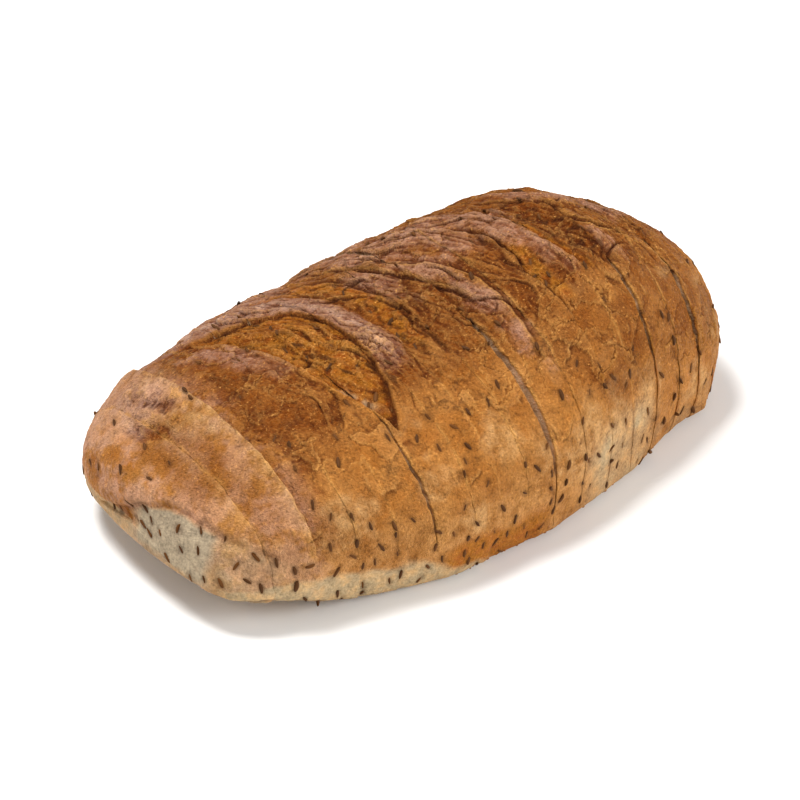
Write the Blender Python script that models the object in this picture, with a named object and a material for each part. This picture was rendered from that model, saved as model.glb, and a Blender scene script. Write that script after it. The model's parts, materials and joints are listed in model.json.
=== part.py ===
"""Sliced rye loaf: one closed solid for every slice, standing on its flat base.

Metres, +Z up, length along X with the low rounded heel at -X, width along Y.
The origin is the middle of the base.  Every slice is a loft of sections cut
from one loaf body: half width, crown height and underside come from a table
of stations along the length, and the baker's crosswise cuts sink the crown.
"""

import math

import bmesh
import bpy
import numpy as np

COLLECTION = "rye_loaf"
MM = 0.001

# ---- the loaf body -------------------------------------------------------
LENGTH = 255.0 * MM
# share of the half length, half width, crown height, underside above the table (mm)
STATIONS = (
    (-1.00, 9.0, 27.0, 16.0),
    (-0.95, 42.4, 40.0, 13.0),
    (-0.85, 55.4, 48.0, 12.0),
    (-0.70, 64.4, 59.4, 5.6),
    (-0.50, 70.3, 63.6, 1.0),
    (-0.25, 76.8, 66.2, 0.0),
    (0.00, 77.0, 70.6, 0.0),
    (0.25, 71.6, 79.2, 0.0),
    (0.50, 63.8, 82.4, 0.0),
    (0.70, 56.4, 72.8, 0.8),
    (0.85, 49.6, 61.0, 1.2),
    (0.95, 35.8, 49.8, 4.5),
    (1.00, 5.0, 39.0, 29.0),
)
BASE_SHARE = 0.95      # flat base, share of the full width
BULGE_SHARE = 0.31     # height of the widest point, share of the crown height
DOME_POWER = 2.16      # roundness of the dome (2 is an ellipse)

# ---- slicing -------------------------------------------------------------
KERF = 0.4 * MM        # bare gap left by the slicer blade
# name, far face of the slice at the base (mm), lean of the slice (degrees, + to +X),
# how far the slice stands proud of the loaf body (mm)
SLICES = (
    ("heel_slice_01", -106.6, -2.6, 0.0),
    ("slice_02", -91.0, -2.6, 0.5),
    ("slice_03", -75.8, -2.6, -0.6),
    ("slice_04", -61.0, -2.6, -0.1),
    ("slice_05", -47.2, -2.6, 0.2),
    ("slice_06", -31.0, -1.5, -0.4),
    ("slice_07", -18.7, -1.5, 0.1),
    ("slice_08", -6.2, -1.5, -0.2),
    ("slice_09", 6.3, -1.5, 0.2),
    ("slice_10", 22.0, 0.8, -0.1),
    ("slice_11", 37.5, 0.8, 0.3),
    ("slice_12", 51.8, 0.8, -0.2),
    ("slice_13", 66.0, 0.8, 0.1),
    ("slice_14", 81.5, 2.0, -0.3),
    ("slice_15", 95.5, 2.0, 0.2),
    ("slice_16", 108.5, 3.4, -0.2),
    ("heel_slice_17", 127.5, 3.4, 0.0),
)

# ---- cuts made in the dough before baking --------------------------------
# middle of the cut on the crown (mm), shift per degree round the section towards +Y,
# bend per degree squared, half width (mm), middle and half span round the section
# (degrees, + to +Y), depth (mm)
DOUGH_CUTS = (
    (-48.5, -0.35, -0.0062, 12.0, -2.0, 42.0, 3.6),
    (-18.0, -0.42, -0.0080, 7.0, 3.0, 36.0, 2.6),
    (1.0, -0.45, -0.0060, 5.5, 8.0, 30.0, 1.8),
    (35.5, -0.22, -0.0080, 6.5, 0.0, 36.0, 2.0),
    (58.0, -0.20, -0.0030, 8.0, -2.0, 30.0, 2.8),
    (84.0, -0.55, -0.0040, 6.0, -18.0, 28.0, 2.0),
)

# ---- heel: torn ledge where the dough touched its neighbour in the oven --
PATCH_X = -120.0 * MM
PATCH_Z = 16.0 * MM
PATCH_SIZE = (13.0 * MM, 34.0 * MM, 15.0 * MM)
PATCH_DEPTH = 2.2 * MM
PATCH_Y = -20.0 * MM

# ---- mesh fineness -------------------------------------------------------
DOME_POINTS = 41
SIDE_POINTS = 4
RINGS_PER_SLICE = 4
HEEL_RINGS = 9
SHARP_EDGE = math.radians(50)


def hermite_slopes(x, y):
    """Slopes of a curve through the stations that never overshoots them."""
    step = np.diff(x)
    rise = np.diff(y) / step
    slopes = np.zeros(len(x))
    for i in range(1, len(x) - 1):
        if rise[i - 1] * rise[i] > 0:
            a = 2 * step[i] + step[i - 1]
            b = step[i] + 2 * step[i - 1]
            slopes[i] = (a + b) / (a / rise[i - 1] + b / rise[i])
    slopes[0] = rise[0]
    slopes[-1] = rise[-1]
    return slopes


class Curve:
    """Smooth curve through stations."""

    def __init__(self, x, y):
        self.x = np.asarray(x, float)
        self.y = np.asarray(y, float)
        self.m = hermite_slopes(self.x, self.y)

    def at(self, x):
        i = int(np.clip(np.searchsorted(self.x, x) - 1, 0, len(self.x) - 2))
        h = self.x[i + 1] - self.x[i]
        t = (x - self.x[i]) / h
        a = (1 + 2 * t) * (1 - t) ** 2 * self.y[i] + t * (1 - t) ** 2 * h * self.m[i]
        b = t * t * (3 - 2 * t) * self.y[i + 1] + t * t * (t - 1) * h * self.m[i + 1]
        return a + b


SHARE = [row[0] for row in STATIONS]
WIDTH = Curve(SHARE, [(row[1] * MM) ** 2 for row in STATIONS])
CROWN = Curve(SHARE, [(row[2] * MM) ** 2 for row in STATIONS])
UNDER = Curve(SHARE, [row[3] * MM for row in STATIONS])


def unit_section():
    """Section of the loaf in shares of half width and height, counter-clockwise."""
    points = []
    for k in range(DOME_POINTS):
        a = math.pi * k / (DOME_POINTS - 1)
        c = math.cos(a)
        s = max(math.sin(a), 0.0)
        y = math.copysign(abs(c) ** (2 / DOME_POWER), c)
        z = BULGE_SHARE + (1 - BULGE_SHARE) * s ** (2 / DOME_POWER)
        points.append((y, z))
    side = []
    for k in range(1, SIDE_POINTS + 1):
        a = 0.5 * math.pi * k / SIDE_POINTS
        y = BASE_SHARE + (1 - BASE_SHARE) * math.cos(a)
        side.append((y, BULGE_SHARE * (1 - math.sin(a))))
    left = [(-y, z) for y, z in side]
    return points + left + side[::-1]


SECTION = unit_section()


def smooth(t):
    """Soft bump: 1 at 0, falling to 0 at 1."""
    t = min(abs(t), 1.0)
    return (1 - t * t) ** 2


def cut_depth(x, angle):
    """How far the dough cuts sink the crust at a length x and an angle round the section."""
    depth = 0.0
    for middle, skew, bend, half, centre, span, deep in DOUGH_CUTS:
        line = (middle + skew * angle + bend * angle * angle) * MM
        reach = smooth((angle - centre) / span)
        if reach > 0:
            width = half * MM * (0.35 + 0.65 * reach)
            depth += deep * MM * reach ** 0.5 * smooth((x - line) / width)
    return depth


def ring(x, proud):
    """Points of the loaf surface at the length x."""
    share = max(-1.0, min(1.0, x / (LENGTH / 2)))
    half = math.sqrt(WIDTH.at(share))
    crown = math.sqrt(CROWN.at(share))
    under = max(UNDER.at(share), 0.0)
    middle = under + (crown - under) * BULGE_SHARE
    points = []
    for u, v in SECTION:
        y = half * u
        z = under + (crown - under) * v
        away = math.hypot(y, z - middle)
        if v > 1e-9 and away > 1e-6:
            angle = math.degrees(math.atan2(u, max(v - BULGE_SHARE, 0.0) / (1 - BULGE_SHARE)))
            grow = proud * MM * min(1.0, half / (20 * MM)) - cut_depth(x, angle)
            a = (x - PATCH_X) / PATCH_SIZE[0]
            b = (y - PATCH_Y) / PATCH_SIZE[1]
            c = (z - PATCH_Z) / PATCH_SIZE[2]
            grow -= PATCH_DEPTH * smooth(math.sqrt(a * a + b * b + c * c))
            if grow > 0:
                grow *= min(1.0, v / 0.12)
            y += grow * y / away
            z += grow * (z - middle) / away
        points.append((x, y, z))
    return points


def leaned(points, lean):
    """Slide the points along X in proportion to their height."""
    slope = math.tan(math.radians(lean))
    return [(x + slope * z, y, z) for x, y, z in points]


def loft(name, rings, place, material, collection):
    """Closed solid through a row of rings of equal count, its origin at the length place."""
    bm = bmesh.new()
    loops = [[bm.verts.new((x - place, y, z)) for x, y, z in points] for points in rings]
    count = len(loops[0])
    for near, far in zip(loops, loops[1:]):
        for k in range(count):
            n = (k + 1) % count
            bm.faces.new((near[k], near[n], far[n], far[k]))
    bm.faces.new(loops[0])
    bm.faces.new(loops[-1])
    bmesh.ops.triangulate(bm, faces=bm.faces[:], quad_method="SHORT_EDGE")
    bmesh.ops.recalc_face_normals(bm, faces=bm.faces[:])
    mesh = bpy.data.meshes.new(name)
    bm.to_mesh(mesh)
    bm.free()
    mesh.shade_smooth()
    mesh.set_sharp_from_angle(angle=SHARP_EDGE)
    mesh.materials.append(material)
    solid = bpy.data.objects.new(name, mesh)
    solid.location.x = place
    collection.objects.link(solid)
    return solid


def ring_places(start, end, first, last):
    """Lengths of the rings of one slice, closer together towards a rounded tip."""
    if first:
        turns = [0.5 * math.pi * k / (HEEL_RINGS - 1) for k in range(HEEL_RINGS)]
        return [end - (end - start) * math.cos(a) for a in turns]
    if last:
        turns = [0.5 * math.pi * k / (HEEL_RINGS - 1) for k in range(HEEL_RINGS)]
        return [start + (end - start) * math.sin(a) for a in turns]
    return [start + (end - start) * k / (RINGS_PER_SLICE - 1) for k in range(RINGS_PER_SLICE)]


def bread_material(name):
    """Own plain bread material for one slice."""
    material = bpy.data.materials.new(name + "_bread")
    material.use_nodes = True
    shader = material.node_tree.nodes["Principled BSDF"]
    shader.inputs["Base Color"].default_value = (0.45, 0.20, 0.065, 1.0)
    shader.inputs["Roughness"].default_value = 0.6
    return material


def build():
    for item in list(bpy.data.objects):
        bpy.data.objects.remove(item, do_unlink=True)
    collection = bpy.data.collections.new(COLLECTION)
    bpy.context.scene.collection.children.link(collection)
    start = -LENGTH / 2
    for number, (name, far, lean, proud) in enumerate(SLICES):
        first = number == 0
        last = number == len(SLICES) - 1
        end = far * MM
        a = start if first else start + KERF / 2
        b = end if last else end - KERF / 2
        rings = [leaned(ring(x, proud), lean) for x in ring_places(a, b, first, last)]
        loft(name, rings, 0.5 * (a + b), bread_material(name), collection)
        start = end


build()
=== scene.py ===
"""Looks of a sliced rye loaf with caraway: crust, crumb, seeds, loose flakes and a plain studio.

Laid out as an add-on and run as a script.  Lengths in the relief code are in
millimetres; "angle" is the angle round the loaf's section in degrees, 0 on the
crown, positive towards +Y and about 115 at the edge of the flat base.
"""

import itertools
import json
import math

import bpy
import numpy as np
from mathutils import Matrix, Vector
from mathutils.bvhtree import BVHTree

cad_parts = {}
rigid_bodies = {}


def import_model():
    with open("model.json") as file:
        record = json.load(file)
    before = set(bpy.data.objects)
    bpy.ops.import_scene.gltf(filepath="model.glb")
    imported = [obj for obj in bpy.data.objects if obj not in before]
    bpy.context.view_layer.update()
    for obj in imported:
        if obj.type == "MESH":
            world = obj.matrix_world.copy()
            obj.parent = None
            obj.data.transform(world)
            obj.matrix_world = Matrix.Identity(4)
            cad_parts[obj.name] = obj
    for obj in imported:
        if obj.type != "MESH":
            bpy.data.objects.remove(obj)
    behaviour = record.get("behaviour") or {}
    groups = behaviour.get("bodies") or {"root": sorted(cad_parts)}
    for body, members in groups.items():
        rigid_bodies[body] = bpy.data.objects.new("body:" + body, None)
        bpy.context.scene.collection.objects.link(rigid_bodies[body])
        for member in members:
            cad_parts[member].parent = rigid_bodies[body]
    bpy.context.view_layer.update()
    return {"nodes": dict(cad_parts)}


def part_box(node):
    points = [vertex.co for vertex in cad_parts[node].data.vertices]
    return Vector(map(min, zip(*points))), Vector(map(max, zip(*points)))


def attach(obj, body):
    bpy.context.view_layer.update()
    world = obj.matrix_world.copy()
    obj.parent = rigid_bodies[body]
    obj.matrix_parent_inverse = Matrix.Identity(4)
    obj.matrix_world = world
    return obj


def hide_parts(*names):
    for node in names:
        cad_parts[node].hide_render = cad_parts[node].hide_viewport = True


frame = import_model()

bl_info = {
    "name": "Sliced rye loaf",
    "version": (1, 0, 0),
    "blender": (4, 5, 0),
    "location": "View3D > Sidebar > Rye loaf",
    "description": "Crust, crumb, caraway seeds and flakes of a sliced rye loaf",
    "category": "Add Mesh",
}

MM = 0.001
BODY = "root"
HEELS = ("heel_slice_01", "heel_slice_17")
SLICES = sorted(frame["nodes"], key=lambda name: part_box(name)[0].x)
BULGE_SHARE = 0.31     # height of the widest point, share of the height
BASE_ANGLE = 115.3     # where the side turns into the flat base
MM_PER_DEGREE = 1.25   # length of a degree of the section on the crown
BASE_RELIEF = 0.12     # share of the relief that the flat base keeps


# ---------------------------------------------------------------- small maths
def srgb(code):
    """Linear colour from an sRGB hex code."""
    parts = [int(code[i:i + 2], 16) / 255 for i in (1, 3, 5)]
    return tuple(c / 12.92 if c <= 0.04045 else ((c + 0.055) / 1.055) ** 2.4 for c in parts)


def smoothstep(low, high, value):
    """Smooth rise from 0 at low to 1 at high."""
    t = np.clip((value - low) / (high - low), 0.0, 1.0)
    return t * t * (3 - 2 * t)


def hump(value, width):
    """Bell of height 1 round 0."""
    return np.exp(-(value / width) ** 2)


def falling(value, width):
    """Straight line from 1 at 0 down to 0 at width."""
    return np.clip(1 - value / width, 0, 1)


def window(value, low, high, soft):
    """1 between low and high, with soft ends."""
    return smoothstep(low - soft, low + soft, value) * (1 - smoothstep(high - soft, high + soft, value))


def hashed(cell, seed):
    """A scattered whole number for every cell of a lattice."""
    x, y, z = (cell[..., k].astype(np.uint32) for k in range(3))
    mixed = x * np.uint32(374761393) + y * np.uint32(668265263) + z * np.uint32(2246822519)
    mixed = mixed + np.uint32(seed * 974711 + 12345)
    mixed = (mixed ^ (mixed >> np.uint32(13))) * np.uint32(1274126177)
    return mixed ^ (mixed >> np.uint32(16))


def noise(points, seed):
    """Gradient noise at points given in cells, about -1 to 1."""
    cell = np.floor(points).astype(np.int64)
    part = points - cell
    blend = part ** 3 * (part * (part * 6 - 15) + 10)
    total = np.zeros(points.shape[:-1])
    for corner in itertools.product((0, 1), repeat=3):
        code = hashed(cell + np.array(corner), seed)
        slope = 0.0
        weight = 1.0
        for axis, step in enumerate(corner):
            share = ((code >> np.uint32(10 * axis)) & np.uint32(1023)) / 511.5 - 1
            slope = slope + share * (part[..., axis] - step)
            weight = weight * (blend[..., axis] if step else 1 - blend[..., axis])
        total += slope * weight
    return total * 1.45


def rough(points, size, octaves, seed):
    """Sum of noises: size in mm is that of the largest lumps."""
    total = 0.0
    height = 1.0
    for k in range(octaves):
        total = total + height * noise(points / size + 17.3 * k, seed + k)
        size = size / 2.03
        height *= 0.5
    return total


def ragged(points, size, octaves, seed, low, high):
    """Noise with the part of its range between low and high stretched to 0 to 1."""
    return smoothstep(low, high, rough(points, size, octaves, seed))


def stretched(along, long, around, tall):
    """Places for noise whose lumps are long by tall."""
    return np.stack([along / long, around / tall, 0 * along], -1)


def curve_at(value, points):
    """Smooth line through a few (value, place) points, straight beyond its ends."""
    x = np.array([p[0] for p in points], float)
    y = np.array([p[1] for p in points], float)
    slope = np.gradient(y, x)
    i = np.clip(np.searchsorted(x, value) - 1, 0, len(x) - 2)
    h = x[i + 1] - x[i]
    t = np.clip((value - x[i]) / h, 0, 1)
    a = (1 + 2 * t) * (1 - t) ** 2 * y[i] + t * (1 - t) ** 2 * h * slope[i]
    b = t * t * (3 - 2 * t) * y[i + 1] + t * t * (t - 1) * h * slope[i + 1]
    low = np.minimum(value - x[0], 0) * slope[0]
    high = np.maximum(value - x[-1], 0) * slope[-1]
    return a + b + low + high


# ------------------------------------------------------- lines across the crown
# Each line is a few (angle, length along the loaf in mm) points.
LIP_1 = (
    (-41, -44.5), (-27, -50.0), (-17, -54.4), (-8, -56.4), (1, -57.8), (10, -60.2), (18, -63.4),
    (27, -67.5), (34, -74.0),
)
FAR_1 = (
    (-41, -46.0), (-31, -40.5), (-19, -35.0), (-8, -32.2), (3, -31.6), (12, -32.6), (22, -37.5),
    (28, -48.0), (32, -59.5), (40, -80.0),
)
BAND_1 = (
    (-30, -24.0), (-12, -19.6), (-5, -19.2), (5, -19.8), (12, -21.8), (23, -26.5), (33, -33.0), (42, -42.5),
)
VALLEY_2 = ((-22, -9.0), (-9, -9.5), (-2, -9.2), (6, -8.2), (16, -9.2), (23, -12.8), (32, -19.0), (39, -29.5))
CREVICE_3 = ((-14, 12.5), (0, 7.0), (10, 2.6), (19, -3.2), (28, -7.0), (38, -12.0))
RIDGE_3 = ((-36, 19.0), (-23, 20.5), (-11, 20.0), (3, 15.0), (13, 7.0), (26, -6.0))
CREVICE_4 = ((-36, 38.5), (-16, 37.2), (-6, 38.8), (5, 38.0), (18, 30.0), (32, 18.0))
STREAK_5 = ((-26, 58.5), (-11, 54.2), (0, 53.0), (16, 48.5))
CRACK_6 = ((-42, 101.0), (-27, 93.0), (-19, 85.0), (-15, 76.5), (-9, 70.0))

# How neighbouring slices part, by the number of the near slice: middle angle, half span
# in degrees, width of the gap in mm, and how far the near slice stands proud at the cut.
PARTINGS = (
    (1, -34, 46, 0.05, 1.0),
    (2, -34, 52, 0.08, 2.2),
    (3, -58, 34, 0.0, 0.25),
    (4, -62, 30, 0.0, 0.2),
    (5, -60, 32, 1.5, -0.3),
    (6, -58, 30, 0.0, 0.25),
    (7, -44, 36, 0.0, 0.2),
    (8, -58, 30, 0.0, 0.2),
    (9, -48, 36, 3.1, -0.4),
    (9, -90, 15, 0.8, 0.0),
    (10, -30, 34, 0.03, 0.5),
    (11, -50, 34, 0.0, 0.3),
    (12, -60, 30, 0.0, 0.3),
    (13, -50, 28, 1.6, -0.3),
    (14, -40, 40, 0.35, 0.5),
    (15, -50, 34, 2.0, -0.4),
    (16, -40, 54, 0.15, 0.5),
)
LEAST_GAP = 0.01


def parting(number, angle):
    """Gap after slice number in mm, how proud the near slice is, and how much the cut shows."""
    gap = LEAST_GAP + 0.0 * angle
    proud = 0.0 * angle
    shown = 0.0 * angle
    for near, middle, half, wide, rise in PARTINGS:
        if near == number:
            for side in (angle, -angle):
                reach = np.clip(1 - ((side - middle) / half) ** 2, 0, 1)
                gap = gap + wide * reach ** 0.8
                proud = proud + rise * reach
                shown = np.maximum(shown, reach ** 0.5)
    return gap, proud, shown


def cut_wander(number, angle):
    """Sideways wander of the crust's edge along a cut, in mm, the same on both slices."""
    _, _, shown = parting(number, angle)
    ring = np.stack([31.0 * number + 0 * angle, angle * 0.9, 0 * angle], -1)
    return shown * (0.60 * rough(ring, 16.0, 2, 145) + 0.50 * rough(ring, 5.0, 3, 147))


# What the layers lay down: relief in mm, then shares of colours.
LAID = ("height", "gold", "dark", "pale", "flour", "toast", "shine", "sheen", "bloom", "torn")
PAINTS = (*LAID[1:], "crest", "crumb")


class Skin:
    """Relief and colours of the crust, gathered layer by layer."""

    def __init__(self, points, angle):
        self.p = points
        self.x = points[..., 0]
        self.angle = angle
        for key in LAID:
            setattr(self, key, np.zeros(angle.shape))
        self.on_top = smoothstep(BASE_ANGLE + 2, BASE_ANGLE - 6, np.abs(angle))

    def most(self, key, value):
        """Raise a colour's share to at least this value."""
        setattr(self, key, np.maximum(getattr(self, key), value))

    def line(self, points, wander=0.7, seed=5):
        """Distance from a crosswise line that wanders a little."""
        lean = (curve_at(self.angle + 0.5, points) - curve_at(self.angle - 0.5, points)) / MM_PER_DEGREE
        away = self.x - curve_at(self.angle, points)
        return away / np.sqrt(1 + lean ** 2) - wander * rough(self.p, 7.0, 2, seed)

    def groove(self, points, low, high, deep, wide, seed, dark=0.8):
        """Narrow crevice along a line."""
        reach = window(self.angle, low, high, 4)
        away = self.line(points, seed=seed)
        self.height -= deep * reach * hump(away, wide)
        # painted shade at the bottom of the crevice
        self.most("dark", dark * reach * hump(away, wide * 0.8))
        return away, reach


# Patches of the crust: length along the loaf in mm, angle, half length, half angle, and
# how many mm the patch leans towards the high heel for every degree it rises.
MAUVE_SKIN = (
    (-3, 10, 6, 10, -0.4), (0, 28, 9, 10, -0.5), (-10, 42, 8, 8, -0.6), (22, 26, 15, 10, -0.3),
    (15, -15, 4, 23, -0.1), (12, 8, 7, 10, -0.2), (28, 10, 8, 9, -0.3), (38, 20, 7, 12, -0.4),
    (46, -6, 4, 13, -0.3), (46, 14, 6, 8, -0.3), (77, 12, 7, 7, -0.3), (73, -24, 3, 7, -0.3),
    (67, 20, 5, 8, -0.3), (-72, 18, 6, 9, -0.5), (-66, 4, 4, 8, -0.4), (92, 4, 6, 8, -0.3),
    (-37, 44, 14, 9, -0.8), (6, 44, 16, 9, -0.5),
)
DEEP_BAKED = (
    (-52, 26, 13, 6, -0.9), (-65, -3, 6, 13, -0.35), (-84, -14, 6, 24, -0.1), (-71, -20, 10, 9, -0.2),
    (-5, -10, 8, 15, -0.3), (1, 4, 5, 7, -0.3), (-24, -20, 7, 9, -0.2), (25, -25, 8, 8, -0.3),
    (10, 13, 3, 9, -0.3), (34, 2, 4, 11, -0.3), (42, 28, 6, 11, -0.6), (38, -14, 9, 12, -0.2),
    (46, -24, 8, 6, -0.2), (64, 2, 4, 15, -0.3), (77, -1, 8, 7, -0.3), (85, -14, 8, 8, -0.3),
    (-111, 16, 2.5, 14, -0.2), (-102, 20, 2.5, 9, -0.2), (58, 26, 6, 8, -0.4), (20, -8, 3, 12, -0.2),
    (98, -18, 5, 8, -0.3), (70, -26, 8, 7, -0.2), (58, -14, 6, 9, -0.2), (-14, 44, 8, 10, -0.6),
    (30, 50, 14, 9, -0.4),
)
LIGHT_BLOOM = (
    (-106, 8, 3, 16, -0.25), (-98, -4, 3.5, 17, -0.22), (-96, 34, 12, 8, -0.5), (-81, -59, 7, 5, 0.0),
    (-70, -63, 5, 5, 0.0), (-61, 6, 3, 12, -0.4), (22, -82, 11, 14, 0.0), (45, -80, 9, 15, 0.0),
    (56, -84, 8, 9, 0.0), (88, -38, 11, 3, 0.1), (62, -76, 7, 6, 0.0), (96, -90, 7, 8, 0.0),
    (4, -72, 5, 10, 0.0), (-13, -57, 7, 7, 0.0), (-32, -84, 7, 8, 0.0), (-45, -62, 5, 6, 0.0),
    (-82, -70, 11, 10, 0.0), (-114, -70, 8, 16, 0.0), (110, -60, 5, 20, 0.0),
)


def patches(skin, spots, seed):
    """Ragged soft-edged patches, the strongest of them at every point."""
    drift = rough(skin.p, 11.0, 5, seed) + 0.35 * rough(skin.p, 2.4, 2, seed + 60)
    total = np.zeros(skin.angle.shape)
    for x, angle, long, tall, lean in spots:
        rise = skin.angle - angle
        away = np.sqrt(((skin.x - x - lean * rise) / long) ** 2 + (rise / tall) ** 2)
        total = np.maximum(total, smoothstep(1.65, 0.45, away + 0.7 * drift))
    return total


def lay_swells(skin, p, x, angle):
    """Broad lumps of a hand-shaped loaf, small dimples and the pebbled grain of its crust."""
    side = window(np.abs(angle), 20, 120, 14)
    skin.height += 1.0 * rough(p, 36.0, 2, 11) + 0.5 * rough(p, 12.0, 2, 21)
    skin.height += (0.24 - 0.04 * side) * rough(p, 4.0, 2, 31)
    pebble = 0.35 - np.abs(noise(p / 1.8, 33))
    skin.height += (0.30 - 0.14 * side) * pebble + (0.12 - 0.05 * side) * noise(p / 1.1, 35)


def lay_patches(skin, p, x, angle):
    """Glossy mauve skin standing up, deep-baked saturated brown lying lower, and light bloom."""
    mauve = patches(skin, MAUVE_SKIN, 34)
    deep = patches(skin, DEEP_BAKED, 36)
    bloom = patches(skin, LIGHT_BLOOM, 38)
    stray = ragged(p, 17.0, 3, 39, 0.30, 0.62) * smoothstep(-14, -46, angle)
    stray *= 1 - 0.8 * smoothstep(8, 30, x)
    skin.bloom = np.maximum(0.75 * bloom, 0.4 * stray)
    skin.most("shine", mauve * (1 - 0.6 * deep))
    skin.most("toast", np.maximum(0.75 * mauve, 0.9 * deep))
    skin.height += 0.6 * mauve - 0.6 * deep * (1 - 0.5 * mauve)


def lay_wrinkles(skin, p, x, angle):
    """Overlapping folds of the stretched top skin, running with the dough cuts."""
    along = x + 0.42 * angle + 0.008 * angle ** 2 + 2.4 * rough(p, 18.0, 3, 40)
    along = along + 0.55 * rough(p, 4.5, 3, 49)
    top = window(angle, -32, 80, 12) * window(x, -64, 106, 10)
    bed = stretched(along, 34.0, angle, 24.0)
    phase = along / 11.5 + 1.9 * noise(bed, 46)
    part = phase - np.floor(phase)
    strong = top * smoothstep(-0.25, 0.4, noise(bed * 1.7 + 5.0, 47))
    seam = np.maximum(hump(part, 0.035), hump(part - 1, 0.035))
    skin.height += 1.2 * strong * (smoothstep(0.0, 0.045, part) * (1 - part) ** 0.9 - 0.35)
    skin.height -= 0.6 * strong * seam
    # painted shade in the seams between folds
    skin.most("dark", 0.95 * strong * seam)
    skin.most("torn", 0.35 * strong * hump(part - 0.09, 0.03))
    folds = stretched(along, 7.0, angle, 15.0)
    skin.height += 0.48 * top * (noise(folds, 41) + 0.5 * noise(folds * np.array([2.3, 1.7, 1.0]), 42))
    ridged = 1 - np.abs(noise(folds * np.array([2.6, 1.5, 1.0]) + 1.9, 48))
    skin.height += 0.55 * top * (ridged ** 4 - 0.3)
    fine = stretched(along, 1.3, angle, 8.0)
    skin.height += 0.10 * (0.3 + 0.7 * top) * noise(fine, 45) * smoothstep(95, 60, np.abs(angle))
    for k, (wide, deep) in enumerate(((1.0, 0.6), (2.1, 0.4))):
        bed = folds * wide + 3.1 + 5 * k
        crease = falling(np.abs(noise(bed, 43 + 5 * k)), 0.07 * wide)
        crease *= smoothstep(0.20, 0.5, noise(bed * np.array([0.35, 1.3, 1]) + 7.7, 44 + 5 * k))
        crease *= smoothstep(-0.4, 0.2, noise(p / 2.2, 142 + k))
        skin.height -= deep * top * crease
        # painted shade in the creases
        skin.most("dark", (0.9 - 0.2 * k) * top * crease)


def cell_edges(points, seed):
    """Distance to the nearest edge between scattered cells, in cells, and a random value of the cell."""
    home = np.floor(points).astype(np.int64)
    first = np.full(points.shape[:-1], 9.0)
    second = first.copy()
    value = 0.0 * first
    for step in itertools.product((-1, 0, 1), repeat=3):
        cell = home + np.array(step)
        code = hashed(cell, seed)
        away = 0.0
        for axis in range(3):
            share = ((code >> np.uint32(10 * axis)) & np.uint32(1023)) / 1023
            away = away + (cell[..., axis] + 0.1 + 0.8 * share - points[..., axis]) ** 2
        second = np.minimum(second, np.maximum(first, away))
        value = np.where(away < first, (code & np.uint32(255)) / 255, value)
        first = np.minimum(first, away)
    return np.sqrt(second) - np.sqrt(first), value


def lay_cracks(skin, p, x, angle):
    """Crackle of short shallow cracks where the crust shrank as it cooled."""
    warp = np.stack([rough(p, 6.0, 2, 50 + 2 * k) for k in range(3)], -1)
    place = p / np.array([11.0, 19.0, 19.0]) + 0.14 * warp
    edge, _ = cell_edges(place, 55)
    some = ragged(p, 26.0, 2, 56, 0.05, 0.5) * window(np.abs(angle), -1, 98, 8)
    some *= smoothstep(-112, -92, x)
    net = falling(edge, 0.045) * ragged(p, 5.0, 2, 59, -0.2, 0.25)
    skin.height -= 0.32 * net * some
    skin.height += 0.22 * some * smoothstep(0.0, 0.35, edge) - 0.11 * some
    # painted shade in the cracks
    skin.most("dark", 0.40 * net * some)
    skin.most("torn", 0.20 * hump(edge - 0.085, 0.03) * some * smoothstep(-75, -50, angle))
    craze, _ = cell_edges(p / 3.6 + 0.5 * warp, 57)
    fine = ragged(p, 14.0, 2, 58, 0.0, 0.5) * window(angle, -46, 60, 10) * smoothstep(-75, -50, x)
    line = falling(craze, 0.09) * fine
    skin.height -= 0.12 * line
    skin.most("torn", 0.30 * line)


# Flaps of skin with one crisp edge: length along the loaf in mm, angle, half length, half
# angle, lean, and how far the flap stands up in mm (a hollow below 0).
FLAPS = (
    (26, -38, 8.5, 11, 0.0, 0.7), (52, -47, 8.5, 9, 0.0, 0.6), (-4, -42, 7, 10, -0.2, 0.5),
    (-75, -22, 9, 8, -0.2, -0.5), (38, -56, 6, 8, 0.0, -0.4), (66, -30, 6, 9, -0.2, 0.5),
    (80, -42, 7, 11, 0.0, 0.5), (14, -62, 6, 9, 0.1, 0.4), (-60, -52, 7, 9, 0.2, 0.5),
    (-30, -60, 7, 8, 0.1, 0.4), (98, -30, 5, 12, 0.0, 0.5), (-14, -26, 6, 9, -0.3, 0.5),
    (84, 2, 8, 9, -0.3, 0.5), (-92, -62, 6, 9, 0.2, 0.4),
)


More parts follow.
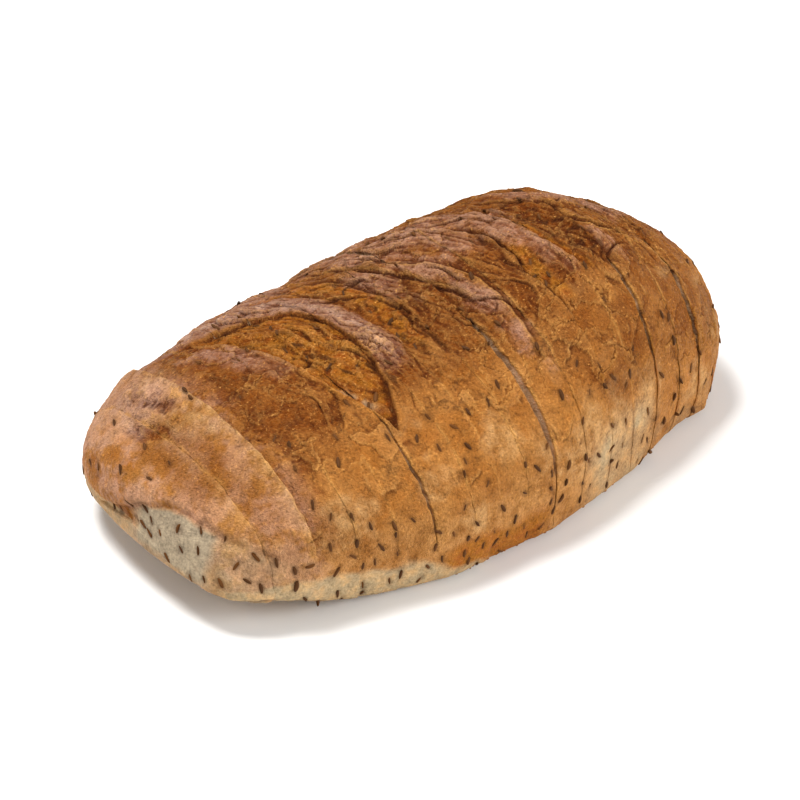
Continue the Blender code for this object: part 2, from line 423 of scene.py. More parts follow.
def lay_plates(skin, p, x, angle):
    """Plates and flaps of skin that tore from their neighbours as the loaf rose."""
    warp = np.stack([rough(p, 7.0, 4, 170 + 2 * k) for k in range(3)], -1)
    edge, value = cell_edges(p / np.array([12.0, 17.0, 17.0]) + 0.22 * warp, 175)
    low = -52 - 20 * smoothstep(15, 45, x)
    zone = window(angle, low, 62, 12) * smoothstep(-92, -80, x)
    apart = smoothstep(0.0, 0.07, edge)
    skin.height += 0.9 * zone * (value - 0.5) * apart
    skin.height -= 0.35 * zone * falling(edge, 0.05) * (value > 0.55)
    # painted shade along the edges of the lower plates
    skin.most("dark", 0.75 * zone * falling(edge, 0.045) * (value < 0.35))
    skin.most("torn", 0.45 * zone * hump(edge - 0.05, 0.03) * (value > 0.6))
    skin.most("bloom", 0.14 * zone * smoothstep(0.72, 0.9, value) * apart * smoothstep(-16, -34, angle))
    skin.most("toast", 0.6 * window(angle, low + 4, 62, 8) * zone * smoothstep(0.30, 0.12, value) * apart)
    drift = 0.26 * rough(p, 7.0, 5, 178)
    for middle, turn, long, tall, lean, rise in FLAPS:
        up = angle - turn
        away = np.sqrt(((x - middle - lean * up) / long) ** 2 + (up / tall) ** 2) + drift
        inside = smoothstep(1.04, 0.94, away)
        lower = smoothstep(0.1, -0.6, up / tall + 0.35 * (x - middle) / long)
        broken = lower * smoothstep(-0.35, 0.25, drift * 5 + 0.4 * noise(p / 5.0, 179))
        skin.height += 0.9 * rise * inside * broken * (1 - 0.8 * smoothstep(0.95, 0.3, away))
        # painted shade just outside the raised edge of a flap
        skin.most("dark", 0.50 * hump(away - 1.05, 0.06) * broken * (rise > 0))
        skin.most("torn", 0.40 * hump(away - 0.93, 0.06) * broken * (rise > 0))
        skin.most("bloom", 0.30 * inside * broken * (rise > 0) * smoothstep(0.5, 0.9, away))


def lay_first_cut(skin, p, x, angle):
    """The wide leaf-shaped opening near the low heel, and the shiny band beyond it."""
    lip = skin.line(LIP_1, 0.7, 61)
    far = skin.line(FAR_1, 0.7, 62)
    band = skin.line(BAND_1, 0.8, 63)
    reach = window(angle, -39, 34, 4)
    inside = reach * smoothstep(-0.35, 0.35, lip) * smoothstep(0.4, -0.4, far)
    skin.height += reach * 1.1 * hump(lip + 1.6, 1.8)
    skin.height -= inside * (0.5 + 1.6 * np.exp(-np.clip(lip, 0, None) / 2.6))
    skin.height -= 1.3 * inside * np.exp(np.clip(far, None, 0) / 3.4)
    along = lip + 0.25 * angle
    strands = stretched(along, 2.2, angle, 11.0)
    torn = 0.35 * rough(p, 4.2, 3, 64) + 0.30 * noise(strands, 66)
    skin.height += inside * torn
    bare = smoothstep(-0.45, 0.15, noise(strands * 0.8 + 2.2, 60) + 0.5 * noise(p / 5.0, 167))
    skin.most("gold", inside * (0.45 + 0.55 * bare))
    # browner inside the cut towards the band and in a wide strip beside the band's lower edge: painted shade
    skin.most("toast", 0.85 * inside * smoothstep(0.2, -9.0, far) + 0.9 * reach * hump(far + 2.0, 2.6))
    broken = 0.35 + 0.6 * ragged(p, 6.0, 3, 168, -0.3, 0.5)
    # painted shade: dark line along the lower edge of the shiny band
    skin.most("dark", broken * reach * hump(far + 0.4, 0.55))
    skin.most("dark", 0.75 * inside * smoothstep(0.25, 0.75, noise(strands * 0.9 + 4.4, 65)))
    # painted shade in the deepest part just inside the lip
    skin.most("dark", 0.65 * inside * hump(lip - 0.7, 0.6))
    skin.most("torn", 0.7 * reach * hump(lip + 0.35, 0.5))
    skin.most("gold", reach * hump(lip + 0.8, 1.6) * window(angle, -34, -6, 5))
    grey = hump(lip - 2.4, 1.8) * window(angle, -29, -17, 3) * ragged(p, 4.0, 2, 169, -0.4, 0.3)
    skin.most("pale", 0.6 * inside * grey)
    skin.most("flour", inside * grey)
    baked = reach * hump(lip + 5.0, 5.0) * smoothstep(-36, -8, angle)
    skin.most("toast", 0.8 * baked)
    dashes = stretched(along, 2.6, angle, 5.5)
    skin.most("dark", 0.9 * inside * smoothstep(0.42, 0.62, noise(dashes + 1.7, 67)))
    high = window(angle, -30, 48, 8)
    across = np.clip(far / np.maximum(far - band, 1.0), 0, 1)
    band_skin = high * smoothstep(0.0, 0.10, across) * smoothstep(1.0, 0.85, across)
    skin.dark *= 1 - 0.6 * band_skin
    skin.height += 1.3 * high * np.sin(np.pi * np.clip(across, 0, 1)) ** 0.6
    skin.most("toast", band_skin)
    ridge = hump(across - 0.45 - 0.12 * rough(p, 9.0, 2, 68), 0.26) * band_skin
    glossy = smoothstep(-24, -8, angle)
    skin.shine = glossy * np.maximum(0.7 * band_skin, ridge) + skin.shine * (1 - band_skin)
    skin.most("sheen", glossy * ridge * ragged(p, 4.0, 3, 69, -0.5, 0.3))
    streaks = stretched(far + 0.3 * angle, 2.0, angle, 9.0)
    skin.most("dark", 0.7 * band_skin * (1 - glossy) * smoothstep(0.2, 0.7, noise(streaks, 70)))


def lay_second_cut(skin, p, x, angle):
    """Golden split beyond the shiny band, and the dark skin after it."""
    away, reach = skin.groove(VALLEY_2, -24, 40, 1.1, 1.5, 71, 0.6)
    gold = reach * window(away, -9.0, -0.4, 1.0) * window(angle, -16, 40, 6)
    skin.most("gold", gold)
    skin.height += gold * 0.35 * rough(p, 3.0, 3, 72)
    skin.most("dark", 0.75 * gold * ragged(p, 3.4, 2, 74, 0.15, 0.6))
    burnt = reach * window(away, 1.5, 10, 2.5) * window(angle, -14, 34, 8)
    skin.most("toast", burnt)
    skin.most("dark", 0.5 * burnt * ragged(p, 6.0, 2, 73, -0.1, 0.5))


def lay_far_cuts(skin, p, x, angle):
    """The closed splits on the high end and the bright streak between them."""
    away, reach = skin.groove(CREVICE_3, -14, 38, 1.3, 0.8, 81, 0.95)
    skin.height += 0.8 * reach * window(away, 1, 9, 1.2)
    skin.most("torn", 0.55 * reach * hump(away - 1.2, 0.5))
    ridge = skin.line(RIDGE_3, 0.8, 82)
    held = window(angle, -38, 26, 5)
    skin.height += 1.2 * held * smoothstep(-7, -1, ridge) * smoothstep(0.7, -0.5, ridge)
    # painted shade at the foot of the ridge's step
    skin.most("dark", 0.6 * held * hump(ridge - 1.0, 0.7))
    skin.most("torn", 0.6 * held * hump(ridge + 0.5, 0.5))
    away, reach = skin.groove(CREVICE_4, -36, 34, 1.3, 0.9, 83, 0.95)
    skin.most("gold", reach * window(away, 0.5, 6, 1.2) * window(angle, -34, -4, 6))
    skin.height += 0.9 * reach * smoothstep(-6, -1, away) * smoothstep(0.4, -0.6, away)
    away, reach = skin.groove(STREAK_5, -27, 18, 1.5, 2.2, 84, 0.0)
    skin.most("gold", 1.3 * reach * window(away, -2.4, 2.4, 0.8))
    skin.height += 0.9 * reach * hump(away + 3.6, 1.6)
    skin.most("dark", 0.7 * reach * hump(away - 2.4, 0.7))
    spotted = reach * window(away, 2.5, 14, 2.5)
    skin.most("toast", spotted)
    skin.height += 0.5 * spotted * rough(p, 3.8, 3, 85)
    skin.most("dark", 0.8 * spotted * ragged(p, 4.2, 2, 86, 0.05, 0.5))
    away, reach = skin.groove(CRACK_6, -43, -9, 1.0, 0.8, 87, 0.8)
    skin.height += 0.7 * reach * smoothstep(-5, -1, away) * smoothstep(0.4, -0.6, away)
    skin.most("torn", reach * hump(away + 1.0, 0.6))


STRAND_DICE = 7        # start of the random draws of the strands
STRANDS = 46


def lay_strands(skin, p, x, angle):
    """Short torn strands between the cuts, scattered in the cuts' direction."""
    dice = np.random.default_rng(STRAND_DICE)
    for _ in range(STRANDS):
        middle = dice.uniform(-24, 46)
        place = dice.uniform(-28, 104) - 0.40 * middle
        span = dice.uniform(5, 16)
        deep = dice.uniform(0.2, 0.55)
        lean = -0.42 + dice.uniform(-0.15, 0.1)
        away = x - place - lean * (angle - middle) + 0.006 * (angle - middle) ** 2
        close = (np.abs(away) < 4) & (np.abs(angle - middle) < span + 6)
        if not close.any():
            continue
        away = away[close] - 0.6 * rough(p[close], 5.0, 2, 90)
        reach = np.clip(1 - ((angle[close] - middle) / span) ** 2, 0, 1)
        skin.height[close] += reach * deep * (0.8 * hump(away + 1.2, 1.0) - hump(away, 0.55))
        # painted shade in the strand's groove
        skin.dark[close] = np.maximum(skin.dark[close], 0.7 * reach * hump(away, 0.5))


# Across the loaf and up, in mm: lower edge of the crust on the low heel.
LEDGE = (
    (-70, 26.0), (-56, 31.5), (-46, 35.3), (-31, 38.8), (-20, 39.0), (-6, 34.4), (4, 29.0), (17, 22.5),
    (32, 17.0),
)


def lay_heel(skin, p, x, angle):
    """Torn ledge, pale patch and blistered spot of the low heel."""
    y, z = p[..., 1], p[..., 2]
    wave = 0.9 * rough(p, 9.0, 2, 101)
    ledge = curve_at(y, LEDGE) + wave
    end = smoothstep(-96, -112, x)
    reach = end * window(y, -60, 26, 6)
    drop = z - ledge
    skin.height += 1.0 * reach * hump(drop - 4.0, 4.5)
    skin.height -= 1.3 * reach * smoothstep(0.9, -1.2, drop) * smoothstep(-16, -3, drop)
    skin.height += 3.2 * end * window(y, -60, 12, 10) * window(z, 2, 20, 5)
    # painted shade along the foot of the ledge
    skin.most("dark", 0.45 * reach * hump(drop + 0.4, 0.6) * smoothstep(-0.3, 0.6, wave))
    patch = end * smoothstep(-0.6, -3.0, drop) * smoothstep(14.0, 20.0, z + 2.5 * wave)
    patch = patch * window(y + 2 * wave, -41, -1, 4)
    skin.most("pale", patch)
    skin.most("flour", patch)
    skirt = end * smoothstep(0.0, -3.0, drop) * window(y, -66, -38, 5)
    skin.most("pale", (0.36 + 0.3 * wave) * skirt)
    amber = end * smoothstep(-2.0, -6.0, drop) * window(y + 2 * wave, -53, -44, 3) * window(z, 10, 26, 4)
    skin.most("gold", 0.45 * amber)
    # painted highlight: the light sheen colour on the top of the heel
    highlighted = smoothstep(-78, -92, x + 0.25 * angle) * window(angle, 6, 70, 12)
    highlighted *= 0.55 + 0.45 * ragged(p, 8.0, 3, 106, -0.5, 0.4)
    skin.most("sheen", 0.75 * highlighted * smoothstep(-122, -112, x) * smoothstep(8, 24, angle))
    spotty = rough(p, 13.0, 3, 109) + 0.4 * rough(p, 2.5, 2, 110)
    # the light sheen colour, laid in spots over the whole heel, stronger towards its tip
    dry = smoothstep(-82, -94, x) * smoothstep(-0.55, 0.35, spotty)
    skin.most("sheen", (0.45 + 0.25 * smoothstep(-113, -121, x)) * dry)
    browned = window(x, -119, -101, 5) * window(angle, -34, 14, 8)
    skin.sheen *= 1 - 0.5 * browned
    skin.most("toast", 0.42 * browned)
    skin.height += highlighted * (0.30 * noise(stretched(x, 3.0, angle, 9.0), 107) + 0.2 * rough(p, 3.0, 2, 108))
    fold = noise(stretched(y * 0.6 - z, 2.2, y + z, 14.0), 102)
    skin.height += patch * (0.22 * fold + 0.04 * rough(p, 1.9, 2, 103))
    torn = end * hump(z - 14.0 - 1.5 * wave, 1.0) * window(y, -58, -32, 4)
    skin.height -= 0.9 * torn
    # painted shade in the torn crack
    skin.most("dark", 0.7 * torn)
    spot = hump(x + 103, 8.0) * hump(angle - 26, 16.0)
    knobs = rough(p, 5.5, 3, 104)
    skin.height += 1.2 * spot * knobs
    skin.most("toast", 0.95 * spot * ragged(p, 5.0, 2, 105, -0.1, 0.4))
    skin.most("dark", 0.45 * spot * ragged(p, 3.2, 3, 100, 0.15, 0.6))
    skin.most("torn", 0.6 * hump(x + 98, 14.0) * hump(angle - 16, 24) * smoothstep(0.35, 0.7, knobs))


# Length along the loaf and the angle below which the side never browned.
FOOT = (
    (-112, -99.0), (-98, -95.0), (-84, -95.0), (-69, -96.5), (-54, -98.5), (-42, -105.0), (-29, -111.0),
    (-10, -122.0),
)


def lay_base(skin, p, x, angle):
    """Cream band where the side never browned, along the foot of the loaf."""
    edge = curve_at(x, FOOT) + 3.0 * rough(p, 14.0, 3, 111)
    near = smoothstep(2.6, -2.6, angle - edge) * window(x, -121, -22, 4)
    far_edge = 97 + 5 * rough(p, 22.0, 3, 112)
    far = smoothstep(-2.5, 2.5, angle - far_edge)
    skin.most("pale", 0.85 * np.maximum(near, far * 0.8))
    beige = window(x, 26, 62, 10) * smoothstep(-72, -90, angle)
    skin.most("pale", beige * (0.45 + 0.4 * ragged(p, 15.0, 2, 114, -0.6, 0.6)))
    under = smoothstep(BASE_ANGLE - 2, BASE_ANGLE + 3, np.abs(angle))
    skin.most("pale", 0.55 * under)
    skin.height += 0.35 * (near + far) * rough(p, 6.0, 2, 113)
    skin.height -= 1.2 * window(x, -24, -2, 2) * smoothstep(-90, -110, angle)
    curled = window(x, 60, 112, 8) * smoothstep(-88, -106, angle)
    skin.most("pale", 0.3 * curled * ragged(p, 12.0, 2, 116, -0.6, 0.6))


# By length along the loaf: angle where the browning starts, and how strong it is.
TOASTED_FROM = (
    (-125, 40), (-98, 30), (-88, -20), (-50, -30), (0, -42), (60, -48), (100, -46), (125, -30),
)
TOASTED_SHARE = ((-127, 0.3), (-98, 0.35), (-88, 0.7), (-50, 0.8), (127, 0.9))


def lay_toast(skin, p, x, angle):
    """Where the oven's top heat browned the crust."""
    drift = 13 * rough(p, 26.0, 3, 121)
    start = curve_at(x, TOASTED_FROM)
    brown = smoothstep(start - 22, start + 34, angle + drift)
    brown *= smoothstep(100, 60, angle + 0.6 * drift)
    brown *= curve_at(x, TOASTED_SHARE)
    skin.most("toast", brown * (0.9 + 0.35 * rough(p, 5.0, 3, 122)))
    warm = window(x, 16, 112, 10) * window(angle, -54 - 18 * smoothstep(20, 44, x), 4, 9)
    warm *= 0.5 + 0.5 * ragged(p, 9.0, 3, 123, -0.5, 0.4)
    skin.most("toast", 0.66 * warm)
    low = smoothstep(-62, -86, angle) * (1 - 0.4 * smoothstep(8, 28, x) - 0.3 * smoothstep(62, 80, x))
    skin.most("bloom", 0.40 * low * (1 - skin.toast))
    glow = window(x, -44, 2, 5) * smoothstep(-91, -100, angle + 0.4 * drift)
    skin.most("gold", 0.9 * glow * (1 - skin.pale))


LAYERS = (
    lay_swells, lay_patches, lay_wrinkles, lay_cracks, lay_plates, lay_first_cut, lay_second_cut,
    lay_far_cuts, lay_strands, lay_heel, lay_base, lay_toast,
)


def blurred(grid, reach):
    """Mean over a window of 2 reach + 1 rows and columns."""
    for axis in (0, 1):
        pad = [(0, 0), (0, 0)]
        pad[axis] = (reach + 1, reach)
        total = np.cumsum(np.pad(grid, pad, mode="edge" if axis == 0 else "wrap"), axis=axis)
        size = grid.shape[axis]
        high = np.take(total, np.arange(2 * reach + 1, size + 2 * reach + 1), axis=axis)
        low = np.take(total, np.arange(size), axis=axis)
        grid = (high - low) / (2 * reach + 1)
    return grid


NARROW, BROAD = 3, 9   # windows for crests and hollows, in rows and columns


def lay_crust(points, angle):
    """All layers, then how far each point stands above or below its surroundings."""
    skin = Skin(points, angle)
    for layer in LAYERS:
        layer(skin, skin.p, skin.x, skin.angle)
    skin.height *= np.maximum(skin.on_top, BASE_RELIEF)
    skin.dark = np.clip(skin.dark * skin.on_top, 0, 1)
    near = skin.height - blurred(skin.height, NARROW)
    wide = skin.height - blurred(skin.height, BROAD)
    # the material paints highlight on crests and shade in hollows from this
    skin.crest = np.clip(0.5 + 0.9 * near + 0.42 * wide, 0, 1)
    return skin


# ---------------------------------------------------------- values of a mesh
def vectors_of(mesh, key="co"):
    """Places or normals of a mesh's vertices, one a row."""
    flat = np.empty(len(mesh.vertices) * 3)
    mesh.vertices.foreach_get(key, flat)
    return flat.reshape(-1, 3)


def place_vertices(mesh, points):
    """Move a mesh's vertices to points in mm."""
    mesh.vertices.foreach_set("co", (points * MM).astype(np.float32).ravel())


def paint_of(mesh, key):
    """Values of a mesh's vertices stored under a name."""
    values = np.empty(len(mesh.vertices))
    mesh.attributes[key].data.foreach_get("value", values)
    return values


def paint_mesh(mesh, key, values):
    """Store a value for every vertex under a name that a material can read."""
    layer = mesh.attributes.get(key) or mesh.attributes.new(key, "FLOAT", "POINT")
    layer.data.foreach_set("value", values.astype(np.float32))


# --------------------------------------------------------- reading the frame
CUT_FACE = 0.985       # share of a unit normal along X that tells a cut face
OUTLINE_STEP = 3       # degrees between the rays that read a section's size


class Solid:
    """One slice of the frame, stood upright so that both cut faces are square to X."""

    def __init__(self, name):
        mesh = frame["nodes"][name].data
        co = vectors_of(mesh) / MM
        normals = np.array([p.normal for p in mesh.polygons])
        areas = np.array([p.area for p in mesh.polygons])
        square = np.abs(normals[:, 0]) > CUT_FACE
        facing = normals[square] * np.sign(normals[square][:, :1]) * areas[square][:, None]
        total = facing.sum(0)
        self.slope = -total[2] / total[0]
        co[:, 0] -= self.slope * co[:, 2]
        self.start = co[:, 0].min()
        self.end = co[:, 0].max()
        faces = [tuple(p.vertices) for p in mesh.polygons]
        self.tree = BVHTree.FromPolygons([tuple(c) for c in co], faces)
        self.middle_z = 0.5 * (co[:, 2].min() + co[:, 2].max())

    def hit(self, origin, direction):
        """Length of a ray from inside the slice to its surface."""
        place = self.tree.ray_cast(Vector(origin), Vector(direction))[0]
        if place is None:
            raise RuntimeError("a ray from inside the slice met no face")
        return (place - Vector(origin)).length

    def outline(self, x):
        """Half width, crown and underside at one length."""
        turns = np.radians(np.arange(0, 360, OUTLINE_STEP))
        points = [(self.hit((x, 0, self.middle_z), (0, math.sin(a), math.cos(a))), a) for a in turns]
        y = [r * math.sin(a) for r, a in points]
        z = [self.middle_z + r * math.cos(a) for r, a in points]
        return max(y), max(z), min(z)

    def leaned(self, points):
        """Points of the upright slice, leaned back as its cuts lean in the loaf."""
        out = points.copy()
        out[..., 0] += self.slope * out[..., 2]
        return out


def smoothed_round(values, degrees, step):
    """Soften a closed row of values along its last axis."""
    reach = int(4 * degrees / step)
    kernel = np.exp(-0.5 * (np.arange(-reach, reach + 1) * step / degrees) ** 2)
    kernel /= kernel.sum()
    return sum(k * np.roll(values, i - reach, axis=-1) for i, k in enumerate(kernel))


def angles_round(over, under):
    """Angles round the section: close together on the crust, wide apart under the base."""
    crust = np.linspace(-BASE_ANGLE, BASE_ANGLE, over, endpoint=False)
    base = np.linspace(BASE_ANGLE, 360 - BASE_ANGLE, under + 1)
    return np.concatenate([crust, base])


SCAN_STEP = 0.5        # degrees between the rays that read a section
SCAN = np.arange(-180, 180, SCAN_STEP)
SECTION_BLUR = 2.4     # degrees over which a section's facets are smoothed
FACE_INSET = 0.12      # how far inside a cut face its section is read, in mm
LAST_TILT = 89.9       # of the rays that read a heel, from its axis, in degrees
TILT_BLUR = (1, 6, 15, 20, 15, 6, 1)   # weights that smooth a heel's facets from tilt to tilt


def read_round(table, angle, step=SCAN_STEP):
    """Values of a closed table at any angles, from its step in degrees."""
    place = ((angle + 180) / step) % table.shape[-1]
    i = np.floor(place).astype(int)
    t = place - i
    i = i % table.shape[-1]
    return table[..., i] * (1 - t) + table[..., (i + 1) % table.shape[-1]] * t


def section_points(angle, sizes, reach):
    """Points of a ring from its distances along rays."""
    half, crown, under = sizes
    high = (crown - under) * (1 - BULGE_SHARE)
    middle = under + (crown - under) * BULGE_SHARE
    y = reach * np.sin(np.radians(angle)) * half
    z = middle + reach * np.cos(np.radians(angle)) * high
    return y, z


class SliceForm:
    """Smooth body of an inner slice, read from its solid by rays."""

    ROWS = 9

    def __init__(self, name):
        self.solid = Solid(name)
        self.rows = np.linspace(self.solid.start + FACE_INSET, self.solid.end - FACE_INSET, self.ROWS)
        sizes = np.array([self.solid.outline(x) for x in self.rows])
        self.sizes = [np.polyfit(self.rows - self.solid.start, sizes[:, k], 2) for k in range(3)]
        table = []
        for x in self.rows:
            half, crown, under = self.sizes_at(x)
            high = (crown - under) * (1 - BULGE_SHARE)
            middle = under + (crown - under) * BULGE_SHARE
            row = []
            for a in np.radians(SCAN):
                way = Vector((0, math.sin(a) * half, math.cos(a) * high))
                row.append(self.solid.hit((x, 0, middle), way) / way.length)
            table.append(row)
        table = smoothed_round(np.array(table), SECTION_BLUR, SCAN_STEP)
        self.fit = np.polyfit(self.rows - self.solid.start, table, 3)

    def sizes_at(self, x):
        """Half width, crown and underside at lengths x."""
        return [np.polyval(c, x - self.solid.start) for c in self.sizes]

    def points(self, x, angle):
        """Points at lengths x (rows) and angles (columns), and the middles of their sections."""
        sizes = self.sizes_at(x)
        away = x - self.solid.start
        reach = 0.0
        for c in self.fit:
            reach = reach * away + read_round(c, angle)[None, :]
        y, z = section_points(angle[None, :], sizes, reach)
        middle = sizes[2] + (sizes[1] - sizes[2]) * BULGE_SHARE
        return np.stack([x, y, z], -1), np.stack([0 * x, 0 * x, middle], -1)


class HeelForm:
    """Smooth body of a heel, read by rays from the middle of its cut face."""

    TILTS = 61

    def __init__(self, name):
        self.solid = Solid(name)
        self.left = name == HEELS[0]
        self.face = self.solid.end if self.left else self.solid.start
        self.tip = self.solid.start if self.left else self.solid.end
        inward = FACE_INSET if self.left else -FACE_INSET
        self.origin_x = self.face - inward
        half, crown, under = self.solid.outline(self.origin_x)
        self.half = half
        self.high = (crown - under) * (1 - BULGE_SHARE)
        self.middle = under + (crown - under) * BULGE_SHARE
        self.long = self.tip - self.origin_x
        tilts = np.linspace(0, LAST_TILT, self.TILTS)
        table = []
        for tilt in np.radians(tilts):
            row = []
            for a in np.radians(SCAN[::2]):
                way = self.way(tilt, a)
                row.append(self.solid.hit((self.origin_x, 0, self.middle), way) / way.length)
            table.append(row)
        table = smoothed_round(np.array(table), SECTION_BLUR, 2 * SCAN_STEP)
        padded = np.concatenate([table[3:0:-1], table, table[-2:-5:-1]])
        kernel = np.array(TILT_BLUR) / sum(TILT_BLUR)
        self.table = sum(k * padded[i:i + len(table)] for i, k in enumerate(kernel))
        self.table[0] = self.table[0].mean()

    def way(self, tilt, a):
        """Ray at a tilt from the heel's axis and an angle round it, both in radians."""
        across = math.sin(tilt)
        y = across * math.sin(a) * self.half
        z = across * math.cos(a) * self.high
        return Vector((self.long * math.cos(tilt), y, z))

    def points(self, tilt, angle):
        """Points at tilts from the tip (rows, degrees) and angles (columns)."""
        place = np.clip(tilt / LAST_TILT * (self.TILTS - 1), 0, self.TILTS - 1.001)
        i = np.floor(place).astype(int)
        t = (place - i)[:, None]
        low = read_round(self.table[i], angle, 2 * SCAN_STEP)
        high = read_round(self.table[i + 1], angle, 2 * SCAN_STEP)
        reach = low * (1 - t) + high * t
        c = np.cos(np.radians(tilt))[:, None]
        s = np.sin(np.radians(tilt))[:, None]
        x = self.origin_x + reach * self.long * c
        y = reach * s * np.sin(np.radians(angle)) * self.half
        z = self.middle + reach * s * np.cos(np.radians(angle)) * self.high
        return np.stack([x, y, z], -1)


# ------------------------------------------------------------- building meshes
FACE_DEPTHS = (0.35, 0.9, 1.7, 2.8, 4.5, 7.5, 12.0, 18.0, 26.0)   # mm in from the rim
MIDDLE_DEPTH = 60.0    # the same for the middle of a cut face
MIDDLE_HOLLOW = 0.13   # how far the middle lies behind the cut, in mm
GAP_DEPTH = 12.0       # how far in from the rim a gap closes, in mm
EDGE_ROWS = np.array([0.0, 0.12, 0.3, 0.55])   # mm from a cut to the close rows beside it
TIP_TILTS = (0.0, 1.2)             # degrees, of the rings at the tip of a heel
RING_TILTS = (2.4, 89.0)           # first and last of its even rings
CUT_TILTS = (89.4, 89.7, 90.0)     # and of those at its cut


def normals_of(points):
    """Unit normals of a grid of points, rows along X, columns round the section."""
    down = np.gradient(points, axis=0)
    wide = np.concatenate([points[:, -2:-1], points, points[:, 1:2]], axis=1)
    across = wide[:, 2:] - wide[:, :-2]
    normal = np.cross(across, down)
    normal /= np.maximum(np.linalg.norm(normal, axis=-1, keepdims=True), 1e-9)
    out = points - points.mean((0, 1))
    out[..., 0] = 0
    flip = np.sign((normal * out).sum(-1).mean())
    return normal * flip


def face_rows(rim, centre, side, gap, cut, number):
    """Rings from the rim of a cut face to its middle, and how deep each lies from the rim.

    The crumb has its own relief; inside the loaf the two faces of a cut all but meet.
    """
    reach = np.linalg.norm(rim[:, 1:] - centre[:, 1:], axis=-1)
    rows = []
    depths = []
    for depth in FACE_DEPTHS:
        share = np.clip(1 - depth / reach, 0.04, 1)
        ring = centre + (rim - centre) * share[:, None]
        pore = rough(ring + 40.0 * number, 3.0, 3, 131)
        hollow = np.clip(0.10 + 0.16 * pore, 0.0, 0.4) * smoothstep(0, 1.5, depth)
        ease = gap * max(0.0, 1 - depth / GAP_DEPTH)
        ring[:, 0] = centre[:, 0] - side * (hollow + ease + LEAST_GAP - 0.5 * bare_at(cut, ring[:, 2]))
        rows.append(ring)
        depths.append(np.full(len(rim), depth))
    last = centre.copy()
    last[:, 0] -= side * (MIDDLE_HOLLOW - 0.5 * bare_at(cut, last[:, 2]))
    rows.append(last)
    depths.append(np.full(len(rim), MIDDLE_DEPTH))
    return np.array(rows), np.array(depths)


WELD = 2e-6            # m, joins the ends of the rings and nothing else


def grid_piece(name, points, paints):
    """Closed piece from a grid primitive wrapped onto rows of points."""
    rows, columns = points.shape[:2]
    bpy.ops.object.select_all(action="DESELECT")
    bpy.ops.mesh.primitive_grid_add(x_subdivisions=columns - 1, y_subdivisions=rows - 1, size=2.0)
    piece = bpy.context.active_object
    piece.name = name
    mesh = piece.data
    mesh.name = name
    flat = vectors_of(mesh)
    column = np.rint((flat[:, 0] + 1) / 2 * (columns - 1)).astype(int)
    row = np.rint((flat[:, 1] + 1) / 2 * (rows - 1)).astype(int)
    place_vertices(mesh, points[row, column])
    while mesh.uv_layers:
        mesh.uv_layers.remove(mesh.uv_layers[0])
    for key, values in paints.items():
        paint_mesh(mesh, key, values[row, column])
    bpy.ops.object.mode_set(mode="EDIT")
    bpy.ops.mesh.select_all(action="SELECT")
    bpy.ops.mesh.remove_doubles(threshold=WELD)
    bpy.ops.mesh.normals_make_consistent(inside=False)
    bpy.ops.object.mode_set(mode="OBJECT")
    bpy.ops.object.shade_smooth()
    bpy.ops.object.select_all(action="DESELECT")
    return piece


# Length along the loaf and how far the near foot is drawn in, both in mm.
CURL = (
    (58, 0.0), (70, 1.5), (80, 2.4), (88, 3.0), (94, 1.8), (104, -1.2), (111, 2.0), (118, 4.5), (125, 5.0),
)


def curled_under(points):
    """Draw the near foot in where the crust curls under, further in some places than in others."""
    x, y, z = (points[..., k] for k in range(3))
    drawn = np.interp(x, *zip(*CURL))
    reach = smoothstep(24, 0, z) * smoothstep(10, -30, y)
    points[..., 1] += drawn * (1 + 0.15 * rough(points, 14.0, 2, 115)) * reach
    return points


def rim_rounding(away, gap):
    """How far the crust edge is worn back, by distance from the cut and width of the gap."""
    return 0.35 * np.clip(gap - 0.15, 0, 1) * falling(away, 0.6) ** 2


def bitten(body):
    """Where along a cut its rim broke off light."""
    return ragged(body, 7.0, 2, 148, -0.5, 0.35)


def shingled(away, proud):
    """Rise of the crust towards a cut that it stands proud at."""
    return 0.5 * proud * np.exp(-away / 4.0)


def shade_cut(skin, away, proud):
    """Painted highlight on the edge that stands proud at a cut, browner painted shade on the one below it,
    and painted brown shade low down in the narrow gap.
    """
    gap_shade = hump(away, 1.0) * window(skin.angle, -108, -44, 8) * smoothstep(18, 42, skin.x)
    gap_shade *= ragged(skin.p, 9.0, 2, 149, -0.45, 0.25)
    skin.most("gold", 0.85 * gap_shade)
    skin.most("dark", 0.25 * gap_shade)
    skin.most("bloom", 0.6 * np.clip(proud, 0, 1.4) * np.exp(-away / 3.5))
    skin.most("toast", 0.55 * np.clip(-proud, 0, 1.4) * np.exp(-away / 9.0))


def finish_slice(name, points, paints, material):
    """Crust and crumb of one slice, shown instead of the frame's node of that name."""
    piece = grid_piece("crust_" + name, points, paints)
    piece.data.materials.append(material)
    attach(piece, BODY)
    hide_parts(name)


CRUST_THICK = (0.4, 1.6)   # mm in from the rim where a cut face turns from crust to crumb


def paint_rows(skin, lead, tail):
    """Colour rows of the whole piece: crust rows between the rows of the cut faces."""
    paints = {}
    for key in PAINTS:
        if key == "crumb":
            middle = np.zeros(skin.angle.shape)
            near = smoothstep(*CRUST_THICK, lead)
            far = smoothstep(*CRUST_THICK, tail)
        else:
            middle = getattr(skin, key)
            near = np.repeat(middle[:1], len(lead), 0)
            far = np.repeat(middle[-1:], len(tail), 0)
        paints[key] = np.concatenate([near[::-1], middle, far])
    return paints


FORMS = {}             # bodies already read, by the number of the slice
RIM_INSET = 0.2        # how far inside a cut its rim is read, in mm
HEEL_RIM_TILTS = np.array([88.9, 89.5])   # degrees, the last of them is a heel's rim


def form_of(number):
    """Body of slice number, counted from 1 at the low heel, read only once."""
    if number not in FORMS:
        name = SLICES[number - 1]
        FORMS[number] = HeelForm(name) if name in HEELS else SliceForm(name)
    return FORMS[number]


